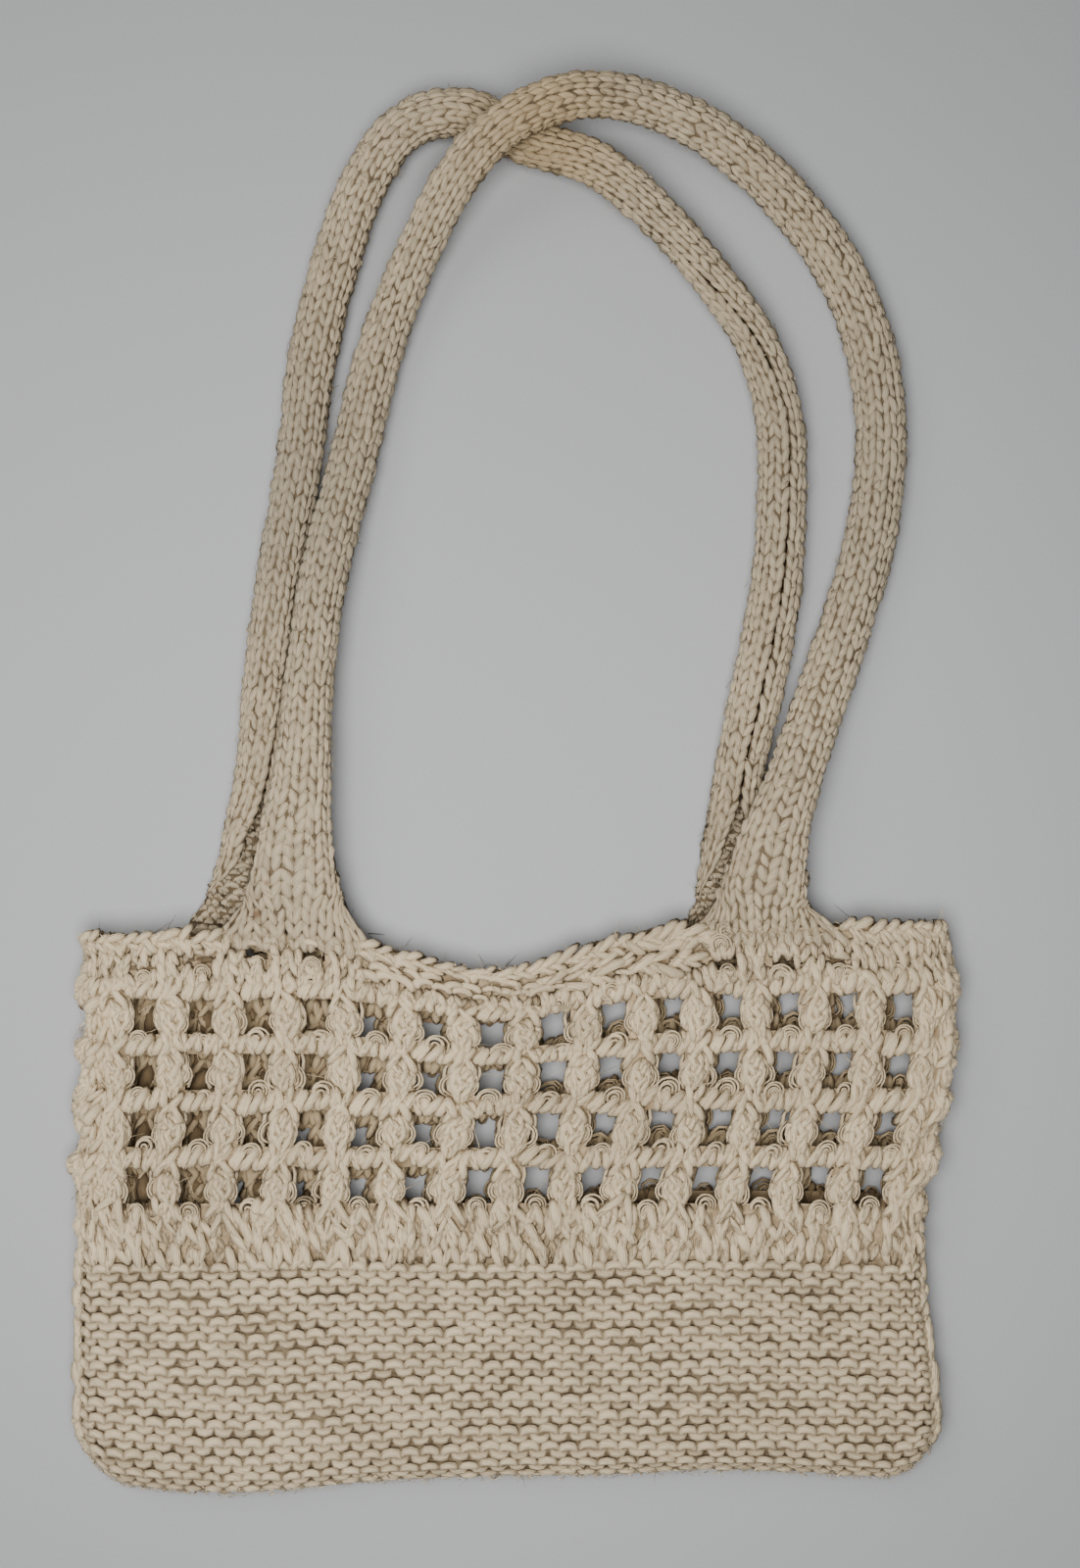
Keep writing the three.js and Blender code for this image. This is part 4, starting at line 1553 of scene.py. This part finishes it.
FRONT_HANDLE = (
    Section(-74, 190, 13.2, 50, 4.5, 1),
    Section(-74, 198, 13.4, 37, 5, 0.9),
    Section(-74, 207, 13.8, 31, 6.5, 0.7),
    Section(-73, 224, 15.3, 25, 9, 0.4),
    Section(-70.3, 250, 15.5, 20, 12),
    Section(-68.5, 278, 13.5, 17.5),
    Section(-63.5, 314, 12, 17.5),
    Section(-54, 354, 7.6, 17.5),
    Section(-46, 388, 6.5, 17),
    Section(-31, 426, 10.5, 16),
    Section(-15, 451, 19, 16),
    Section(0, 464, 24, 16),
    Section(24, 474.5, 21.5, 16),
    Section(48, 474, 16.5, 16),
    Section(77, 460.5, 12.5, 17),
    Section(103, 437, 9, 17.5),
    Section(121, 409, 7, 18),
    Section(130, 372, 6.5, 18.5),
    Section(127.5, 330, 6.5, 18.5),
    Section(117, 292, 6.8, 19),
    Section(107, 264, 9, 19.5),
    Section(98.5, 241, 14.7, 20, 12),
    Section(92, 222, 14.9, 24, 9, 0.4),
    Section(89, 206, 13.8, 29, 6.5, 0.7),
    Section(88, 198, 13.4, 34, 5, 0.9),
    Section(88, 191, 13.2, 48, 4.5, 1),
)

BACK_HANDLE = (
    Section(-92.5, 189, 2.3, 40, 4.5, 1),
    Section(-91.5, 197, 2.7, 32, 5, 0.9),
    Section(-90.5, 206, 3.5, 27, 6.5, 0.7),
    Section(-89, 223, 4.9, 22.5, 9.5, 0.4),
    Section(-87, 245, 6.1, 18, 12),
    Section(-85, 275, 6.5, 16.5),
    Section(-80, 314, 6.5, 16.5),
    Section(-73, 354, 6.5, 17),
    Section(-69, 386, 6.5, 17.5),
    Section(-61, 420, 6.5, 17.5),
    Section(-50, 450, 8, 17),
    Section(-35, 469, 10, 17),
    Section(-15, 473.5, 10, 17),
    Section(5, 464, 10, 16.5),
    Section(30, 455, 12, 16),
    Section(52, 436.5, 13, 15),
    Section(72, 414, 11.5, 15),
    Section(87, 393, 9, 16),
    Section(95, 366, 6.8, 17.5),
    Section(95.5, 335, 6.5, 18),
    Section(93, 304, 6.5, 19),
    Section(87, 273, 6.5, 19),
    Section(81, 245, 6.1, 18, 12),
    Section(79.5, 226, 4.9, 21, 9.5, 0.4),
    Section(79, 209, 3.5, 25, 6.5, 0.7),
    Section(79.5, 199, 2.7, 28, 5, 0.9),
    Section(80, 191, 2.3, 36, 4.5, 1),
)


@dataclass
class KnitHandle(Knitted):
    """One handle: a strip of stocking stitch rolled into a tube."""

    side: Side
    sections: Sequence[Section]
    lie: Lie
    book: StitchBook
    plain: StitchBook
    columns: int = 9
    strip: float = 48.0
    course: float = 4.55
    skin: float = 2.0
    roll: float = 0.985
    crease: tuple[tuple[float, float], ...] = ((0.0, 0.0), (1.0, 0.0))
    inner: float = 1.3
    inner_reach: float = 50.0
    root_fade: float = 14.0
    tuck: float = 7.0
    sheet: float = 1.4
    sheet_grid: tuple[int, int] = (22, 120)
    line_points: int = 900
    grid_step: float = 1.5
    grid_across: int = 65
    opening: float = 1.8
    shown_above: float = -0.3
    open_below: float = 0.2
    fibres: int = 150
    pieces: list[bpy.types.Object] = field(default_factory=list)

    @property
    def node(self) -> str:
        """Gives the name of the handle's node."""
        return f"handle_{self.side.word}"

    @property
    def slot(self) -> str:
        """Gives the name of the handle's material slot."""
        return f"cotton_{self.node}"

    def surface(self) -> Surface:
        """Lays the strip's middle out as a grid, rolled up along the handle.

        Returns:
            The cloth to place stitches on.
        """
        fine = smooth_path(np.array(self.sections, dtype=float), self.line_points)
        fine[:, 2] = np.maximum(fine[:, 2], fine[:, 4] / 2)
        run = run_along(fine[:, :3])
        self.length = float(run[-1])
        stations = np.linspace(0.0, self.length, int(self.length / self.grid_step))
        rows = np.stack([np.interp(stations, run, fine[:, k]) for k in range(6)], axis=1)
        heading = unit(np.gradient(rows[:, :3], axis=0), axis=1)
        wide = unit(np.cross(heading, UPRIGHT), axis=1)
        over = np.cross(wide, heading)
        flat = between(rows[:, 5]) ** self.opening
        across = np.linspace(-self.strip / 2, self.strip / 2, self.grid_across)
        share = across / (self.strip / 2)
        places, turns = zip(*self.crease)
        twist = np.interp(stations / self.length, places, turns) * (1 - flat)
        turn = self.roll * math.pi * share[:, None] + twist[None, :]
        sideways = np.sin(turn) * (1 - flat) + share[:, None] * flat
        sideways /= np.max(np.abs(sideways), axis=0, keepdims=True)
        upwards = self.side.value * np.cos(turn) * (1 - flat)
        half_wide = rows[:, 3] / 2 - self.skin * (1 - flat)
        half_high = np.maximum(rows[:, 4] / 2 - self.skin, 0.0)
        points = (
            rows[None, :, :3]
            + (sideways * half_wide)[:, :, None] * wide[None]
            + (upwards * half_high)[:, :, None] * over[None]
        )
        root = np.minimum(stations, self.length - stations)
        fade = 1.0 - eased(root / self.root_fade)
        middle = self.lie.mouth_line(rows[:, 0], self.side)
        points[:, :, 1] += (self.lie.mouth_line(points[:, :, 0], self.side) - middle) * fade
        return Surface(across, stations, points, self.side is Side.BACK)

    def build(self) -> None:
        """Makes the rolled strip and lays its stitches."""
        cloth = self.surface()
        seed = 300 if self.side is Side.FRONT else 400
        self.ground = self._ground(cloth)
        # The crests are the heights below which the handle's stitches and fibres take painted shade by depth.
        stitches = Weave(f"{self.node}_stitches", cloth, seed + 1, shade_crest=2.3, through=-1.1)
        self._stitches(stitches)
        fuzz = Weave(f"{self.node}_fibres", cloth, seed + 2, shade_crest=2.0)
        self._fuzz(fuzz)
        self.pieces = [stitches.make(), fuzz.make()]

    def _ground(self, cloth: Surface) -> bpy.types.Object:
        """Makes the rolled sheet under the stitches.

        Args:
            cloth: the strip's middle.

        Returns:
            The sheet.
        """
        mesh = bmesh.new()
        wide, high = self.sheet_grid
        bmesh.ops.create_grid(mesh, x_segments=wide, y_segments=high, size=0.5)
        flat = np.array([(v.co.x * self.strip, (v.co.y + 0.5) * self.length, 0.0) for v in mesh.verts])
        for vert, place in zip(mesh.verts, cloth.place(flat)):
            vert.co = place
        if cloth.turned:
            bmesh.ops.reverse_faces(mesh, faces=mesh.faces)
        mesh.normal_update()
        facing = [vert.normal.copy() for vert in mesh.verts]
        outer = list(mesh.verts)
        made = bmesh.ops.extrude_face_region(mesh, geom=mesh.faces[:])["geom"]
        inner = [item for item in made if isinstance(item, bmesh.types.BMVert)]
        for above, below, way in zip(outer, inner, facing):
            above.co += way * self.sheet / 2 * MM
            below.co -= way * self.sheet / 2 * MM
        bmesh.ops.recalc_face_normals(mesh, faces=mesh.faces)
        piece = finished(mesh, f"{self.node}_cloth")
        piece.data.shade_smooth()
        return piece

    def _stitches(self, weave: Weave) -> None:
        """Lays the columns of stocking stitch, each half worked up from its root.

        Args:
            weave: the piece they go to.
        """
        many = int((self.length + 2 * self.tuck) / self.course)
        runs = (np.arange(many) + 0.5) * (self.length + 2 * self.tuck) / many - self.tuck
        pitch = self.strip / self.columns
        columns = (np.arange(self.columns) - (self.columns - 1) / 2) * pitch
        grid_a, grid_u = (part.ravel() for part in np.meshgrid(columns, runs, indexing="ij"))
        turn = np.where(grid_u > self.length / 2, math.pi, 0.0)
        hand = Hand(place=0.2, turn=0.09, size=0.06, lift=0.18)
        facing = weave.cloth.facing(grid_a, grid_u)
        shown = facing > self.shown_above
        for book, there in ((self.book, shown), (self.plain, ~shown)):
            for form in book.legs:
                weave.lay(form, grid_a[there], grid_u[there], turn=turn[there], hand=hand)
        if self.side is Side.FRONT:
            return
        near = np.minimum(grid_u, self.length - grid_u) < self.inner_reach
        open_part = near & (facing < self.open_below)
        across, up = grid_a[open_part], grid_u[open_part]
        for shift, rise in ((0.0, 1.1), (pitch / 2, -1.1)):
            weave.lay(self.plain.purl, across + shift, up + rise, inside=self.inner, hand=hand)

    def _fuzz(self, weave: Weave) -> None:
        """Lays loose fibres over the handle.

        Args:
            weave: the piece they go to.
        """
        for hair in self.book.hairs:
            across = weave.chance.uniform(-self.strip / 2, self.strip / 2, self.fibres)
            up = weave.chance.uniform(0.0, self.length, self.fibres)
            weave.lay(hair, across, up, lift=1.6, shade=-1.0, hand=WILD)


@dataclass
class Studio:
    """The floor, the light and the camera."""

    reach: float = 3.0
    height: float = 0.56
    lens: float = 24.2
    sensor: float = 24.0
    camera_x: float = 0.00907
    camera_y: float = 0.00197
    nearest: float = 0.01
    floor_dark: Colour = (0.43, 0.433, 0.437)
    floor_pale: Colour = (0.465, 0.468, 0.472)
    room_colour: Colour = (0.95, 0.97, 1.0)
    room_strength: float = 0.075

    def build(self) -> None:
        """Makes the floor, lights and camera."""
        self._floor()
        self._lights()
        data = bpy.data.cameras.new("camera")
        data.sensor_fit = "VERTICAL"
        data.sensor_height = self.sensor
        data.lens = self.lens
        data.clip_start = self.nearest
        camera = add_object("camera", data)
        camera.location = (self.camera_x, self.camera_y, self.height)
        bpy.context.scene.camera = camera

    def _floor(self) -> None:
        """Makes a plain pale floor."""
        mesh = bmesh.new()
        bmesh.ops.create_grid(mesh, x_segments=2, y_segments=2, size=self.reach)
        floor = finished(mesh, "floor")
        material, desk, shader = start_material("pale_floor", roughness=0.85, specular=0.2)
        grain = desk.noise(desk.add("ShaderNodeTexCoord").outputs["Object"], 900.0, 2.0)
        colour = desk.mix(grain, (*self.floor_dark, 1.0), (*self.floor_pale, 1.0))
        desk.coat(shader, colour, bump=0.15, depth=0.0003, height=grain)
        floor.data.materials.append(material)

    def _lights(self) -> None:
        """Makes a soft light overhead, one from the far side, and a pale room."""
        for name, place, size, power in (
            ("top_light", (-0.06, -0.08, 0.62), 0.5, 4.6),
            ("far_light", (-0.8, 0.6, 0.9), 0.8, 3.2),
        ):
            data = bpy.data.lights.new(name, "AREA")
            data.shape = "DISK"
            data.size = size
            data.energy = power
            light = add_object(name, data)
            light.location = place
            light.rotation_mode = "QUATERNION"
            light.rotation_quaternion = (-Vector(place)).to_track_quat("-Z", "Y")
        world = bpy.data.worlds.new("room")
        world.use_nodes = True
        air = world.node_tree.nodes["Background"].inputs
        air["Color"].default_value = (*self.room_colour, 1.0)
        air["Strength"].default_value = self.room_strength
        bpy.context.scene.world = world
        bpy.context.scene.view_settings.look = "AgX - Medium High Contrast"


def main() -> None:
    """Builds the bag piece by piece, dresses it and sets up the studio."""
    logging.basicConfig(level=logging.INFO, format="%(name)s: %(message)s")
    Studio().build()
    body = Body()
    lie = Lie(body)
    groups = CottonGroups()
    plies, stains_and_shade = groups.plies(), groups.stains_and_shade()
    fine, plain = StitchBook(sides=6, rings=6, strays=1), StitchBook(sides=4, rings=5, strays=0)
    # The ground cloths between the stitches are painted shade: shaded_cotton on the front panel, the lighter
    # inner_cotton on the back panel, crevice_cotton on the handles.
    ground = GroundFinish("shaded_cotton").build()
    inner = GroundFinish("inner_cotton", (0.40, 0.305, 0.195), (0.26, 0.193, 0.12), above=1.0).build()
    crevice = GroundFinish("crevice_cotton", (0.2, 0.155, 0.102), (0.12, 0.092, 0.06), above=1.0).build()
    # The back and handle lots are darker copies of the front's cotton: painted shade. In every lot the deep
    # colour is the one taken in painted shade.
    lots = (
        CottonFinish("cotton_front", (0.70, 0.587, 0.416), (0.16, 0.117, 0.071)),
        CottonFinish("cotton_back", (0.52, 0.415, 0.272), (0.2, 0.145, 0.086)),
        CottonFinish("cotton_handle", (0.56, 0.472, 0.34), (0.08, 0.059, 0.036)),
    )
    front_yarn, back_yarn, handle_yarn = (lot.build(plies, stains_and_shade) for lot in lots)
    panels, handles = {}, {}
    sides = (
        (Side.BACK, plain, back_yarn, inner, ((-92.5, 18.0), (80.0, 16.0))),
        (Side.FRONT, fine, front_yarn, ground, ((-74.0, 22.0), (88.0, 21.0))),
    )
    for side, book, yarn, under, roots in sides:
        panels[side] = KnitPanel(side, body, lie, book, roots=roots)
        panels[side].build()
        panels[side].dress(yarn, under)
    back_crease = ((0.0, 0.0), (0.05, 0.0), (0.13, -1.2), (0.5, -1.6), (0.6, -1.0), (0.72, 0.3), (1.0, 0.1))
    strips = ((Side.BACK, BACK_HANDLE, back_crease), (Side.FRONT, FRONT_HANDLE, KnitHandle.crease))
    for side, rows, crease in strips:
        handles[side] = KnitHandle(side, rows, lie, fine, plain, crease=crease)
        handles[side].build()
        handles[side].dress(handle_yarn, crevice)


if __name__ == "__main__":
    main()
